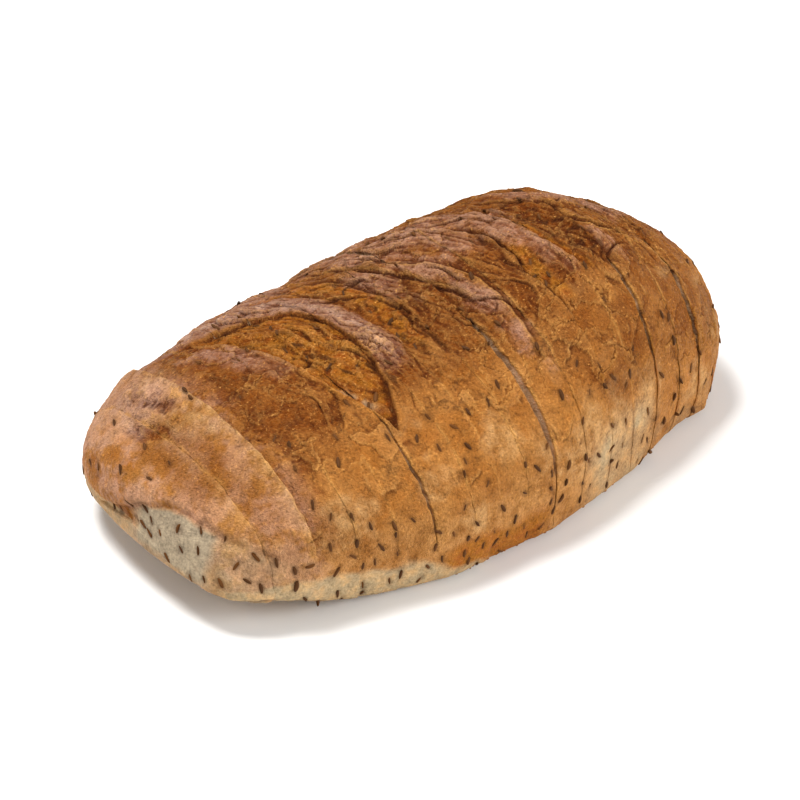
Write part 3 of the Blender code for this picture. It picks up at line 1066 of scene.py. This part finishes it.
def rim_ring(number, angle, far):
    """Ring of points along one cut of a slice, and the middle of that section as y and z."""
    form = form_of(number)
    if isinstance(form, HeelForm):
        return form.points(HEEL_RIM_TILTS, angle)[1], np.array([0, form.middle])
    x = (form.solid.end - RIM_INSET if far else form.solid.start + RIM_INSET) + np.zeros((1, len(angle)))
    ring, middle = form.points(x, angle)
    return ring[0], middle[0, :, 1:]


def rim_of(number, angle, far):
    """Distance of the crust from the middle at one cut of a slice."""
    ring, centre = rim_ring(number, angle, far)
    return np.linalg.norm(ring[:, 1:] - centre, axis=-1)


def bare_gap(number, angle):
    """Gap in mm between the solids of slice number and the next, which lean differently."""
    return bare_at(number, rim_ring(number, angle, True)[0][:, 2])


def bare_at(number, z):
    """The same gap at any height."""
    one, two = form_of(number).solid, form_of(number + 1).solid
    return two.start - one.end + (two.slope - one.slope) * z


STEP_REACH = 5.0       # mm from a cut over which two slices are eased together


def step_between(number, angle):
    """How much further out slice number stands at its far cut than the next slice."""
    return rim_of(number, angle, True) - rim_of(number + 1, angle, False)


def build_slice(name, number, sizes, material):
    """Crust and both crumb faces of one inner slice."""
    form = form_of(number)
    angle = angles_round(sizes.columns_crust, sizes.columns_base)
    start, end = form.solid.start, form.solid.end
    long = end - start
    first = EDGE_ROWS[-1]
    count = int(round((long - 2 * first) / (sizes.row_step / MM)))
    inner = np.linspace(first, long - first, count + 1)
    away = np.concatenate([EDGE_ROWS[:-1], inner, long - EDGE_ROWS[:-1][::-1]])
    share = away / long
    near_gap, near_proud, near_shown = parting(number - 1, angle)
    far_gap, far_proud, far_shown = parting(number, angle)
    worn = rim_rounding(share[:, None] * long, near_gap)
    worn = worn + rim_rounding((1 - share[:, None]) * long, far_gap)
    near_bare = bare_gap(number - 1, angle)
    far_bare = bare_gap(number, angle)
    near_gap = 0.5 * (near_gap - near_bare) + cut_wander(number - 1, angle)
    far_gap = 0.5 * (far_gap - far_bare) - cut_wander(number, angle)
    low = start + near_gap
    high = end - far_gap
    x = low[None, :] + share[:, None] * (high - low)[None, :]
    body, centre = form.points(x, angle)
    skin = lay_crust(form.solid.leaned(body), np.broadcast_to(angle, x.shape))
    from_near = x - low
    from_far = high - x
    height = skin.height - worn
    height = height + (shingled(from_far, far_proud) - shingled(from_near, near_proud)) * skin.on_top
    near_step = 0.5 * (1 - near_shown) * step_between(number - 1, angle)
    far_step = 0.5 * (1 - far_shown) * step_between(number, angle)
    height = height + near_step * np.exp(-from_near / STEP_REACH) - far_step * np.exp(-from_far / STEP_REACH)
    shade_cut(skin, from_near, -near_proud)
    shade_cut(skin, from_far, far_proud)
    rims = np.maximum(near_shown * hump(from_near, 0.8), 0.7 * far_shown * hump(from_far, 0.5))
    skin.most("torn", 0.75 * rims * bitten(body) * skin.on_top)
    crust = body + normals_of(body) * height[..., None]
    crust[..., 2] = np.maximum(crust[..., 2], 0.0)
    near_centre = centre[0] + np.array([1.0, 0, 0]) * start
    far_centre = centre[-1] + np.array([1.0, 0, 0]) * end
    near_gap = near_gap + 0.5 * near_bare
    far_gap = far_gap + 0.5 * far_bare
    lead, lead_depth = face_rows(crust[0], near_centre, -1, near_gap, number - 1, number)
    tail, tail_depth = face_rows(crust[-1], far_centre, 1, far_gap, number, number + 0.5)
    points = curled_under(form.solid.leaned(np.concatenate([lead[::-1], crust, tail])))
    paints = paint_rows(skin, lead_depth, tail_depth)
    finish_slice(name, points, paints, material)


def build_heel(name, number, sizes, material):
    """One rounded end of the loaf, with its single crumb face."""
    form = form_of(number)
    angle = angles_round(sizes.columns_heel, sizes.columns_base)
    tilt = np.concatenate([TIP_TILTS, np.linspace(*RING_TILTS, sizes.rows_heel), CUT_TILTS])
    body = form.points(tilt, angle)
    cut = number if form.left else number - 1
    gap, proud, shown = parting(cut, angle)
    wide = gap
    side = 1 if form.left else -1
    bare = bare_gap(cut, angle)
    gap = 0.5 * (gap - bare) - side * cut_wander(cut, angle)
    limit = form.face - side * gap
    body[-1, :, 0] = form.face
    squeeze = (limit[None, :] - form.tip) / (form.face - form.tip)
    body[..., 0] = form.tip + (body[..., 0] - form.tip) * squeeze
    skin = lay_crust(form.solid.leaned(body), np.broadcast_to(angle, body.shape[:2]))
    away = np.abs(limit[None, :] - body[..., 0])
    height = skin.height - rim_rounding(away, wide) + side * shingled(away, proud) * skin.on_top
    step = step_between(cut, angle) * (0.5 if form.left else -0.5)
    height = height - (1 - shown) * step * np.exp(-away / STEP_REACH)
    height[0] = height[0].mean()
    shade_cut(skin, away, side * proud)
    skin.most("torn", 0.8 * shown * hump(away, 0.5) * bitten(body) * skin.on_top)
    normal = normals_of(body)
    normal[0] = (-side, 0, 0)
    crust = body + normal * height[..., None]
    crust[..., 0] = side * np.minimum(side * crust[..., 0], side * limit[None, :])
    crust[0] = crust[0].mean(0)
    crust[..., 2] = np.maximum(crust[..., 2], 0.0)
    centre = np.zeros((len(angle), 3)) + np.array([form.face, 0, form.middle])
    tail, depth = face_rows(crust[-1], centre, side, gap + 0.5 * bare, cut, number)
    points = curled_under(form.solid.leaned(np.concatenate([crust, tail])))
    paints = paint_rows(skin, depth[:0], depth)
    finish_slice(name, points, paints, material)


# ------------------------------------------------------------------- materials
class Finish:
    """A material's node tree and the functions that add nodes to it."""

    def __init__(self, name):
        self.material = bpy.data.materials.new(name)
        self.material.use_nodes = True
        self.tree = self.material.node_tree
        self.tree.nodes.clear()
        self.column = 0
        self.where = self.add("ShaderNodeTexCoord").outputs["Object"]

    def add(self, kind, links=None, **settings):
        """Node of a kind, with sockets set or linked by name and other settings by attribute."""
        node = self.tree.nodes.new(kind)
        self.column += 1
        node.location = (180 * (self.column % 12), -220 * (self.column // 12))
        for key, value in settings.items():
            setattr(node, key, value)
        for key, value in (links or {}).items():
            socket = node.inputs[key]
            if isinstance(value, bpy.types.NodeSocket):
                self.tree.links.new(value, socket)
            elif hasattr(value, "__len__") and len(value) == 3 and socket.type == "RGBA":
                socket.default_value = (*value, 1.0)
            else:
                socket.default_value = value
        return node

    def painted(self, key):
        """Value that the mesh keeps for every point under a name."""
        return self.add("ShaderNodeAttribute", attribute_name=key).outputs["Fac"]

    def mixed(self, share, one, two):
        """Colour from one to two as the share goes from 0 to 1."""
        return self.add("ShaderNodeMix", {0: share, 6: one, 7: two}, data_type="RGBA").outputs[2]

    def maths(self, operation, *values, limit=False):
        """Result of one sum on values, kept between 0 and 1 if limit is set."""
        links = dict(enumerate(values))
        return self.add("ShaderNodeMath", links, operation=operation, use_clamp=limit).outputs[0]

    def scaled(self, value, factor, offset=0.0):
        """Value times factor plus offset, kept between 0 and 1."""
        return self.maths("MULTIPLY_ADD", value, factor, offset, limit=True)

    def mottled(self, size, detail, shift=(0, 0, 0)):
        """Noise whose lumps are about size millimetres."""
        mapping = self.add("ShaderNodeMapping", {"Vector": self.where, "Location": shift})
        links = {"Vector": mapping.outputs[0], "Scale": 1 / (size * MM), "Detail": detail, "Roughness": 0.55}
        return self.add("ShaderNodeTexNoise", links).outputs["Fac"]

    def bumped(self, height, strength, distance):
        """Normals for a relief that is distance millimetres deep."""
        links = {"Height": height, "Strength": strength, "Distance": distance * MM}
        return self.add("ShaderNodeBump", links).outputs[0]

    def shaded(self, colour, gloss, **sockets):
        """End the tree in one principled shader, and return that shader."""
        links = {"Base Color": colour, "Roughness": gloss, **sockets}
        shader = self.add("ShaderNodeBsdfPrincipled", links)
        self.add("ShaderNodeOutputMaterial", {"Surface": shader.outputs[0]})
        return shader


def baked_rye_crust(colours):
    """Oven-baked rye crust over open crumb.

    The browned starch skin is a dull satin that turns glossier and mauve-brown
    where the top heat caught it, the mauve partly a painted sheen; torn splits stay
    golden and rough, and the foot and the cut faces show pale dry crumb. Highlight
    on crests and shade in hollows, crevices and seed pits are painted into the colour.
    """
    finish = Finish("baked_rye_crust")
    mixed, scaled, maths = finish.mixed, finish.scaled, finish.maths
    paint = {key: finish.painted(key) for key in PAINTS}
    broad = finish.mottled(16, 3.0)
    patchy = finish.mottled(5, 4.0, shift=(3, 1, 2))
    grain = finish.mottled(0.95, 3.0, shift=(7, 5, 1))
    tan = mixed(scaled(broad, 4.0, -1.5), colours.tan, colours.honey)
    tan = mixed(scaled(patchy, 3.0, -1.55), tan, colours.ochre)
    light = maths("MULTIPLY", paint["bloom"], scaled(patchy, 2.4, -0.6))
    tan = mixed(scaled(light, 1.0), tan, colours.bloom)
    brown = mixed(scaled(patchy, 4.0, -1.5), colours.russet, colours.chestnut)
    colour = mixed(scaled(paint["toast"], 1.0), tan, brown)
    gold = mixed(scaled(patchy, 4.2, -1.7), colours.gold, colours.russet)
    colour = mixed(scaled(paint["gold"], 0.9), colour, gold)
    high = scaled(paint["crest"], 2.2, -0.95)
    # mauve of the glossy skin, stronger on crests: partly the skin's own colour, partly painted sheen
    skin = maths("MULTIPLY", scaled(high, 0.7, 0.45), paint["shine"])
    colour = mixed(scaled(skin, 0.85), colour, colours.mauve)
    colour = mixed(scaled(paint["sheen"], 0.65), colour, colours.glint)
    # painted highlight: crests of the relief lightened towards the rim colour
    crest_highlight = maths("MULTIPLY", high, scaled(paint["toast"], 0.12, 0.08))
    colour = mixed(crest_highlight, colour, colours.rim)
    pale = mixed(scaled(patchy, 3.0, -1.35), colours.cream, colours.bloom)
    pale = mixed(paint["flour"], pale, colours.flour)
    colour = mixed(scaled(paint["pale"], 1.0), colour, pale)
    colour = mixed(scaled(paint["torn"], 0.75), colour, colours.rim)
    crumb = mixed(scaled(grain, 3.0, -1.1), colours.crumb, colours.pore)
    colour = mixed(paint["crumb"], colour, crumb)
    # painted shade: hollows of the relief darkened towards chestnut
    low = scaled(paint["crest"], -2.4, 1.05)
    hollow_shade = maths("MULTIPLY", low, scaled(paint["toast"], 0.35, 0.45))
    colour = mixed(hollow_shade, colour, colours.chestnut)
    tender = scaled(paint["pale"], -0.22, 0.28)
    baked = maths("MULTIPLY_ADD", paint["toast"], 0.60, tender)
    speckle = maths("MULTIPLY", scaled(grain, 7.0, -4.3), baked)
    colour = mixed(speckle, colour, colours.rim)
    freckle = maths("MULTIPLY", scaled(grain, -7.0, 2.7), baked)
    colour = mixed(freckle, colour, colours.chestnut)
    # dark paint: dark-baked marks, and painted shade at the bottom of crevices, cracks, seams, ledges and
    # round the seeds
    colour = mixed(scaled(paint["dark"], 0.9), colour, colours.burnt)
    fine = finish.mottled(0.55, 2.0, shift=(2, 9, 4))
    tone = maths("ADD", grain, patchy)
    tone = maths("MULTIPLY_ADD", tone, 1.25, -0.25)
    colour = finish.add("ShaderNodeVectorMath", {0: colour, "Scale": tone}, operation="SCALE").outputs[0]
    matt = maths("MAXIMUM", paint["pale"], paint["crumb"])
    satin = finish.add("ShaderNodeMapRange", {"Value": skin, "To Min": 0.62, "To Max": 0.38}).outputs[0]
    gloss = finish.add("ShaderNodeMix", {0: matt, 2: satin, 3: 0.85}).outputs[0]
    strength = scaled(paint["pale"], -0.45, scaled(paint["toast"], 0.35, 0.65))
    bump = finish.bumped(maths("ADD", grain, fine), strength, 1.5)
    shader = finish.shaded(colour, gloss, Normal=bump)
    shader.inputs["IOR"].default_value = 1.45
    shader.inputs["Specular IOR Level"].default_value = 0.12
    return finish.material


def toasted_caraway(colours):
    """Dry caraway fruit toasted in the crust: dark brown husk with five paler ribs, faintly waxy."""
    finish = Finish("toasted_caraway")
    rib = finish.painted("rib")
    shade = finish.painted("shade")
    husk = finish.mixed(shade, colours.seed, colours.seed_light)
    colour = finish.mixed(finish.scaled(rib, 0.40), husk, colours.rib)
    grain = finish.mottled(0.5, 2.0)
    shader = finish.shaded(colour, 0.6, Normal=finish.bumped(grain, 0.4, 0.1))
    shader.inputs["Specular IOR Level"].default_value = 0.1
    return finish.material


def dry_crumbs(colours):
    """Loose flakes of dried crumb and crust: matt and pale, browner on some bits."""
    finish = Finish("dry_bread_crumbs")
    shade = finish.painted("shade")
    grain = finish.mottled(0.8, 2.0)
    flake = finish.mixed(shade, colours.honey, colours.russet)
    colour = finish.mixed(finish.scaled(grain, 2.0, -0.9), flake, colours.cream)
    finish.shaded(colour, 0.85, Normal=finish.bumped(grain, 0.5, 0.15))
    return finish.material


def studio_paper(colours):
    """Seamless matt paper: even and pale, with no texture the eye can catch."""
    finish = Finish("studio_paper")
    grain = finish.mottled(3.0, 2.0)
    colour = finish.mixed(finish.scaled(grain, 0.06), colours.paper, (0.8, 0.8, 0.8))
    shader = finish.shaded(colour, 0.9)
    shader.inputs["Specular IOR Level"].default_value = 0.1
    return finish.material


def crust_material():
    """The crust's material, made when it is first asked for."""
    made = bpy.data.materials.get("baked_rye_crust")
    return made or baked_rye_crust(bpy.context.scene.rye_colours)


# ----------------------------------------------------------------- scattering
LEAST_CRUMB = 0.02     # share of crumb at which a point counts as part of a cut face
ABOVE_BASE = 1.2       # mm, nothing lies on the base


def gather_skin():
    """Points, normals and shares of gold, pale and toast of all crust outside the cut faces."""
    found = []
    for name in SLICES:
        mesh = bpy.data.objects["crust_" + name].data
        columns = [vectors_of(mesh) / MM, vectors_of(mesh, "normal")]
        columns += [paint_of(mesh, key)[:, None] for key in ("crumb", "gold", "pale", "toast")]
        found.append(np.concatenate(columns, 1))
    table = np.concatenate(found)
    table = table[(table[:, 6] < LEAST_CRUMB) & (table[:, 2] > ABOVE_BASE)]
    return table[:, :3], table[:, 3:6], *table[:, 7:].T


DRAWN_FOR_ONE = 12     # points drawn for each that is kept, as many fall too close to another


def spread(points, weight, count, apart, dice):
    """Choose count points by weight, none closer than apart in mm."""
    drawn = min(len(points), count * DRAWN_FOR_ONE)
    order = dice.choice(len(points), size=drawn, replace=False, p=weight / weight.sum())
    kept = []
    cells = {}
    for i in order:
        key = tuple((points[i] // apart).astype(int))
        near = [j for s in itertools.product((-1, 0, 1), repeat=3)
                for j in cells.get((key[0] + s[0], key[1] + s[1], key[2] + s[2]), ())]
        if any(np.linalg.norm(points[i] - points[j]) < apart for j in near):
            continue
        cells.setdefault(key, []).append(i)
        kept.append(i)
        if len(kept) == count:
            break
    return np.array(kept)


def taken_apart(shape):
    """Points and faces of a modelled shape, which is then removed."""
    co = np.array([v.co for v in shape.data.vertices])
    faces = [tuple(p.vertices) for p in shape.data.polygons]
    bpy.data.objects.remove(shape)
    return co, faces


SEED_WIDE = 0.37       # share of a caraway fruit's length


def model_seed():
    """One caraway fruit, 1 mm long in its own frame: a ribbed, slightly bent spindle along X."""
    bpy.ops.object.select_all(action="DESELECT")
    bpy.ops.mesh.primitive_uv_sphere_add(segments=10, ring_count=6, radius=0.5)
    seed = bpy.context.active_object
    bpy.ops.object.mode_set(mode="EDIT")
    bpy.ops.mesh.select_all(action="SELECT")
    bpy.ops.transform.resize(value=(SEED_WIDE, SEED_WIDE, 1.0))
    bpy.ops.object.mode_set(mode="OBJECT")
    co, faces = taken_apart(seed)
    turn = np.arctan2(co[:, 1], co[:, 0])
    rib = 0.5 + 0.5 * np.cos(5 * turn)
    co[:, :2] *= (0.82 + 0.18 * rib)[:, None]
    co = np.stack([co[:, 2], co[:, 0], co[:, 1] + 0.30 * co[:, 2] ** 2 - 0.03], -1)
    return co, faces, rib


def model_flake(dice):
    """One irregular flake about 1 mm across in its own frame."""
    bpy.ops.object.select_all(action="DESELECT")
    bpy.ops.mesh.primitive_ico_sphere_add(subdivisions=2, radius=0.5)
    co, faces = taken_apart(bpy.context.active_object)
    co *= (1 + 0.35 * noise(co * 3.0 + dice.uniform(0, 50, 3), 151))[:, None]
    co[:, 2] *= 0.45
    return co, faces


def joined(name, parts, material):
    """One mesh from many (points, faces, paints) parts."""
    points = []
    faces = []
    paints = {}
    base = 0
    for co, polygons, values in parts:
        points.append(co)
        faces.extend([tuple(v + base for v in face) for face in polygons])
        for key, value in values.items():
            paints.setdefault(key, []).append(np.broadcast_to(value, len(co)))
        base += len(co)
    mesh = bpy.data.meshes.new(name)
    mesh.from_pydata((np.concatenate(points) * MM).tolist(), [], faces)
    for key, values in paints.items():
        paint_mesh(mesh, key, np.concatenate(values))
    mesh.shade_smooth()
    mesh.materials.append(material)
    piece = bpy.data.objects.new(name, mesh)
    bpy.context.scene.collection.objects.link(piece)
    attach(piece, BODY)


def tangent_frame(normal, along):
    """Right-handed axes with X near along and Z on the normal."""
    x = along - normal * (along @ normal)
    x /= np.linalg.norm(x)
    y = np.cross(normal, x)
    return np.stack([x, y, normal])


BED_REACH = 4          # mm round a seed where its bed is looked for
BED_LONG = 0.62        # half length of a bed, share of its seed's length
BED_WIDE = 1.25        # half width of a bed in mm
BED_TALL = 3.0         # and its reach along the normal
BED_DEPTH = 0.15       # how far its middle sinks, in mm


def press_beds(beds):
    """Sink the crust round every seed, where it sits in its own small pit, and paint shade into the pit."""
    for name in SLICES:
        mesh = bpy.data.objects["crust_" + name].data
        co = vectors_of(mesh) / MM
        dark = paint_of(mesh, "dark")
        low, high = co.min(0) - BED_REACH, co.max(0) + BED_REACH
        for middle, axes, length in beds:
            if (middle < low).any() or (middle > high).any():
                continue
            near = np.flatnonzero(np.abs(co - middle).max(1) < BED_REACH)
            local = (co[near] - middle) @ axes.T
            away = (local[:, 0] / (BED_LONG * length)) ** 2
            away = away + (local[:, 1] / BED_WIDE) ** 2 + (local[:, 2] / BED_TALL) ** 2
            pit = np.exp(-away ** 1.5)
            dark[near] = np.maximum(dark[near], 0.5 * pit)
            co[near] -= BED_DEPTH * pit[:, None] * axes[2]
        co[:, 2] = np.maximum(co[:, 2], 0.0)
        place_vertices(mesh, co)
        paint_mesh(mesh, "dark", dark)
        mesh.update()


SEED_DICE, FLAKE_DICE = 23, 31     # starts of the random draws
SEEDS_APART, FLAKES_APART = 4.2, 1.5   # mm
PATCH_END = -104       # mm along the loaf, seeds below it are on the low heel's end
END_FACING = 0.75      # share of a normal along X that also counts as an end
PATCH_WAY = (0.1, -0.65, -0.75)    # which way seeds lie on the ends
ON_TABLE = 0.02        # lowest point of seeds and flakes, in mm
FLAKE_SHAPES = 5


def place_seeds(sizes, colours):
    """Scatter caraway fruits, most of them low on the side and in the splits, and press their beds."""
    dice = np.random.default_rng(SEED_DICE)
    p, n, gold, pale, toast = gather_skin()
    x, _, z = p.T
    low = smoothstep(46, 18, z)
    weight = 0.24 + 0.5 * low + 0.7 * gold - 0.34 * pale
    weight *= 1 - 0.72 * smoothstep(-88, -102, x) * (1 - pale)
    weight *= 1 - 0.62 * smoothstep(44, 74, x)
    weight *= 1 - 0.5 * smoothstep(0.4, 1.0, toast) * (1 - gold)
    weight *= 0.6 + 0.8 * ragged(p, 22.0, 2, 161, -0.2, 0.3)
    weight *= z > 3
    chosen = spread(p, weight, sizes.seed_count, SEEDS_APART, dice)
    co, faces, rib = model_seed()
    parts = []
    beds = []
    for i in chosen:
        length = dice.normal(sizes.seed_length / MM, 0.45)
        thick = length * dice.uniform(0.85, 1.25) * (4.0 / length) ** 0.5
        round_way = np.array([0.0, -n[i][2], n[i][1]])
        if x[i] < PATCH_END or abs(n[i][0]) > END_FACING:
            round_way = np.array(PATCH_WAY)
        round_way = round_way - np.array([0.4 * gold[i], 0, 0])
        spin = dice.normal(0, 0.42)
        axes = tangent_frame(n[i], round_way + 1e-3)
        turned = axes[0] * math.cos(spin) + axes[1] * math.sin(spin)
        axes = tangent_frame(n[i], turned)
        tilt = dice.normal(0, 0.10)
        sunk = dice.uniform(-0.55, -0.15)
        local = co * np.array([length, thick, thick * 0.85])
        local[:, 2] += local[:, 0] * tilt + sunk
        place = local @ axes + p[i]
        place[:, 2] = np.maximum(place[:, 2], ON_TABLE)
        parts.append((place, faces, {"rib": rib, "shade": dice.uniform(0, 1) ** 1.6}))
        beds.append((p[i], axes, length))
    press_beds(beds)
    joined("caraway_seeds", parts, toasted_caraway(colours))


def place_flakes(sizes, colours):
    """Scatter small loose flakes of bread along the foot."""
    dice = np.random.default_rng(FLAKE_DICE)
    p, n, *_ = gather_skin()
    foot = smoothstep(9, 2, p[:, 2])
    weight = 0.001 + foot * (1 + 3 * window(p[:, 0], -34, 24, 6) * (p[:, 1] < 0))
    chosen = spread(p, weight, sizes.crumb_count, FLAKES_APART, dice)
    parts = []
    shapes = [model_flake(dice) for _ in range(FLAKE_SHAPES)]
    for i in chosen:
        co, faces = shapes[dice.integers(len(shapes))]
        size = dice.uniform(0.4, 1.3)
        axes = tangent_frame(n[i], dice.normal(0, 1, 3))
        place = co * size @ axes + p[i] + 0.08 * size * n[i]
        place[:, 2] = np.maximum(place[:, 2], ON_TABLE)
        parts.append((place, faces, {"shade": dice.uniform(0, 1)}))
    joined("bread_flakes", parts, dry_crumbs(colours))


# ------------------------------------------------------------------ properties
def colour_property(name, description, code):
    return bpy.props.FloatVectorProperty(
        name=name, description=description, default=srgb(code), subtype="COLOR", size=3, min=0.0, max=1.0
    )


def length_property(name, description, metres):
    return bpy.props.FloatProperty(name=name, description=description, default=metres, unit="LENGTH")


def count_property(name, description, count):
    return bpy.props.IntProperty(name=name, description=description, default=count)


def angle_property(name, description, degrees):
    return bpy.props.FloatProperty(
        name=name, description=description, default=math.radians(degrees), subtype="ANGLE"
    )


class RyeColours(bpy.types.PropertyGroup):
    """Colours of crust, crumb, seeds and floor."""

    bloom: colour_property("Light bloom", "Pale tan where the skin stayed dry", "#b68e5c")
    tan: colour_property("Tan crust", "Side crust of middling bake", "#ad7336")
    honey: colour_property("Honey crust", "Warmer fields of the side crust", "#9a5e21")
    ochre: colour_property("Ochre mottle", "Small darker mottles of the side crust", "#894f18")
    # light colour of the painted highlight on the shiny band's ridge and on the heel's top
    glint: colour_property("Dusty mauve", "Light on the stretched skin and on the dusted heel", "#c8a08a")
    # mauve of the top skin, partly painted sheen
    mauve: colour_property("Mauve skin", "Glossy top skin", "#ab7e6a")
    chestnut: colour_property("Chestnut", "Darkest fields of the top skin", "#562402")
    gold: colour_property("Gold", "Torn dough in the splits", "#a96718")
    russet: colour_property("Russet", "Deeper spots in the splits", "#8a4508")
    flour: colour_property("Flour grey", "Unbaked floured skin", "#9f8e75")
    cream: colour_property("Cream", "Warm pale skin along the foot", "#aa9775")
    rim: colour_property("Torn rim", "Light edge of torn or cut crust", "#d0964e")
    crumb: colour_property("Crumb", "Cut faces", "#dab48c")
    pore: colour_property("Pore", "Shaded pores of the crumb", "#ac7d58")
    # dark of dark-baked marks, also used for painted shade in crevices
    burnt: colour_property("Crevice", "Bottom of cracks and splits", "#3c1904")
    seed: colour_property("Seed husk", "Dark caraway husk", "#2f190a")
    seed_light: colour_property("Light husk", "Paler caraway husk", "#573212")
    rib: colour_property("Seed rib", "Ribs of the caraway fruit", "#7a4e24")
    paper: colour_property("Paper", "Studio floor", "#f4f3f1")


class RyeSizes(bpy.types.PropertyGroup):
    """Fineness of the crust and sizes of what is scattered on it."""

    row_step: length_property("Row step", "Spacing of crust rows along the loaf", 0.42 * MM)
    columns_crust: count_property("Crust columns", "Points round the crust of an inner slice", 640)
    columns_heel: count_property("Heel columns", "Points round the crust of a heel", 500)
    columns_base: count_property("Base columns", "Points across the base", 56)
    rows_heel: count_property("Heel rows", "Rows from the tip of a heel to its cut", 162)
    seed_length: length_property("Seed length", "Mean length of a caraway fruit", 4.0 * MM)
    seed_count: count_property("Seeds", "Caraway seeds showing on the crust", 380)
    crumb_count: count_property("Flakes", "Loose flakes on the crust", 80)


class RyeStage(bpy.types.PropertyGroup):
    """Camera and light."""

    azimuth: angle_property("Azimuth", "Direction of the camera from -Y towards -X", 37.75)
    height_angle: angle_property("Elevation", "Angle of the camera above the table", 34.0)
    distance: length_property("Distance", "Camera to the aimed point", 1.128)
    lens: bpy.props.FloatProperty(name="Lens", description="Focal length in mm", default=135.0)
    aim: bpy.props.FloatVectorProperty(
        name="Aim", description="Point the camera looks at", default=(-0.0097, -0.0037, 0.0292), unit="LENGTH"
    )
    floor_size: length_property("Floor", "Side of the square floor", 6.0)


# ------------------------------------------------------------------- operators
class RYE_OT_slices(bpy.types.Operator):
    """Model the crust and crumb of the fifteen inner slices"""

    bl_idname = "rye.slices"
    bl_label = "Inner slices"

    def execute(self, context):
        material = crust_material()
        for number, name in enumerate(SLICES, 1):
            if name not in HEELS:
                build_slice(name, number, context.scene.rye_sizes, material)
        return {"FINISHED"}


class RYE_OT_heels(bpy.types.Operator):
    """Model the two rounded ends of the loaf"""

    bl_idname = "rye.heels"
    bl_label = "Heels"

    def execute(self, context):
        material = crust_material()
        for name in HEELS:
            build_heel(name, SLICES.index(name) + 1, context.scene.rye_sizes, material)
        return {"FINISHED"}


class RYE_OT_seeds(bpy.types.Operator):
    """Scatter caraway seeds half sunk in the crust"""

    bl_idname = "rye.seeds"
    bl_label = "Caraway seeds"

    def execute(self, context):
        place_seeds(context.scene.rye_sizes, context.scene.rye_colours)
        return {"FINISHED"}


class RYE_OT_flakes(bpy.types.Operator):
    """Scatter loose flakes of bread along the foot"""

    bl_idname = "rye.flakes"
    bl_label = "Bread flakes"

    def execute(self, context):
        place_flakes(context.scene.rye_sizes, context.scene.rye_colours)
        return {"FINISHED"}


# Name, place, aimed point, side in m and power in W of every soft light.
LIGHTS = (
    ("overhead_softbox", (-0.20, 0.35, 1.20), (0, 0, 0.03), 0.45, 19.0),
    ("window_side", (-1.3, 0.40, 0.90), (0, 0, 0.04), 0.6, 3.0),
    ("front_fill", (0.8, -1.4, 0.75), (0, 0, 0.04), 0.9, 25.0),
)
ROOM_LIGHT = 0.40      # strength of the even white light all round


class RYE_OT_stage(bpy.types.Operator):
    """Add the floor, the soft lights and the camera"""

    bl_idname = "rye.stage"
    bl_label = "Studio"

    def execute(self, context):
        settings = context.scene.rye_stage
        bpy.ops.object.select_all(action="DESELECT")
        bpy.ops.mesh.primitive_plane_add(size=settings.floor_size, location=(0, 0, 0))
        floor = context.active_object
        floor.name = "studio_floor"
        floor.data.materials.append(studio_paper(context.scene.rye_colours))
        for light in LIGHTS:
            add_light(*light)
        world = bpy.data.worlds.new("studio_world")
        world.use_nodes = True
        background = world.node_tree.nodes["Background"]
        background.inputs["Color"].default_value = (1, 1, 1, 1)
        background.inputs["Strength"].default_value = ROOM_LIGHT
        context.scene.world = world
        add_camera(settings)
        context.scene.view_settings.view_transform = "Standard"
        return {"FINISHED"}


def add_light(name, place, target, size, power):
    """Square soft light at a place, turned to a target."""
    light = bpy.data.lights.new(name, "AREA")
    light.shape = "SQUARE"
    light.size = size
    light.energy = power
    lamp = bpy.data.objects.new(name, light)
    bpy.context.scene.collection.objects.link(lamp)
    lamp.location = place
    lamp.rotation_euler = (Vector(target) - Vector(place)).to_track_quat("-Z", "Y").to_euler()


def add_camera(settings):
    """Camera at the set angles and distance from the aimed point."""
    lens = bpy.data.cameras.new("camera")
    lens.lens = settings.lens
    lens.sensor_width = 36.0
    lens.clip_start = 0.01
    camera = bpy.data.objects.new("camera", lens)
    bpy.context.scene.collection.objects.link(camera)
    flat = math.cos(settings.height_angle)
    back = Vector((-math.sin(settings.azimuth) * flat, -math.cos(settings.azimuth) * flat,
                   math.sin(settings.height_angle)))
    camera.location = Vector(settings.aim) + back * settings.distance
    camera.rotation_euler = (-back).to_track_quat("-Z", "Y").to_euler()
    bpy.context.scene.camera = camera


OPERATORS = (RYE_OT_heels, RYE_OT_slices, RYE_OT_seeds, RYE_OT_flakes, RYE_OT_stage)


class RYE_PT_panel(bpy.types.Panel):
    """Lists the steps that make the loaf"""

    bl_label = "Rye loaf"
    bl_idname = "RYE_PT_panel"
    bl_space_type = "VIEW_3D"
    bl_region_type = "UI"
    bl_category = "Rye loaf"

    def draw(self, context):
        for operator in OPERATORS:
            self.layout.operator(operator.bl_idname)
        for group in ("rye_sizes", "rye_stage", "rye_colours"):
            settings = getattr(context.scene, group)
            box = self.layout.box()
            for key in settings.__annotations__:
                box.prop(settings, key)


CLASSES = (RyeColours, RyeSizes, RyeStage, *OPERATORS, RYE_PT_panel)


def register():
    for item in CLASSES:
        bpy.utils.register_class(item)
    bpy.types.Scene.rye_colours = bpy.props.PointerProperty(type=RyeColours)
    bpy.types.Scene.rye_sizes = bpy.props.PointerProperty(type=RyeSizes)
    bpy.types.Scene.rye_stage = bpy.props.PointerProperty(type=RyeStage)


def unregister():
    for key in ("rye_stage", "rye_sizes", "rye_colours"):
        delattr(bpy.types.Scene, key)
    for item in reversed(CLASSES):
        bpy.utils.unregister_class(item)


def main():
    register()
    bpy.ops.rye.heels()
    bpy.ops.rye.slices()
    bpy.ops.rye.seeds()
    bpy.ops.rye.flakes()
    bpy.ops.rye.stage()
    bpy.context.view_layer.update()


if __name__ == "__main__":
    main()
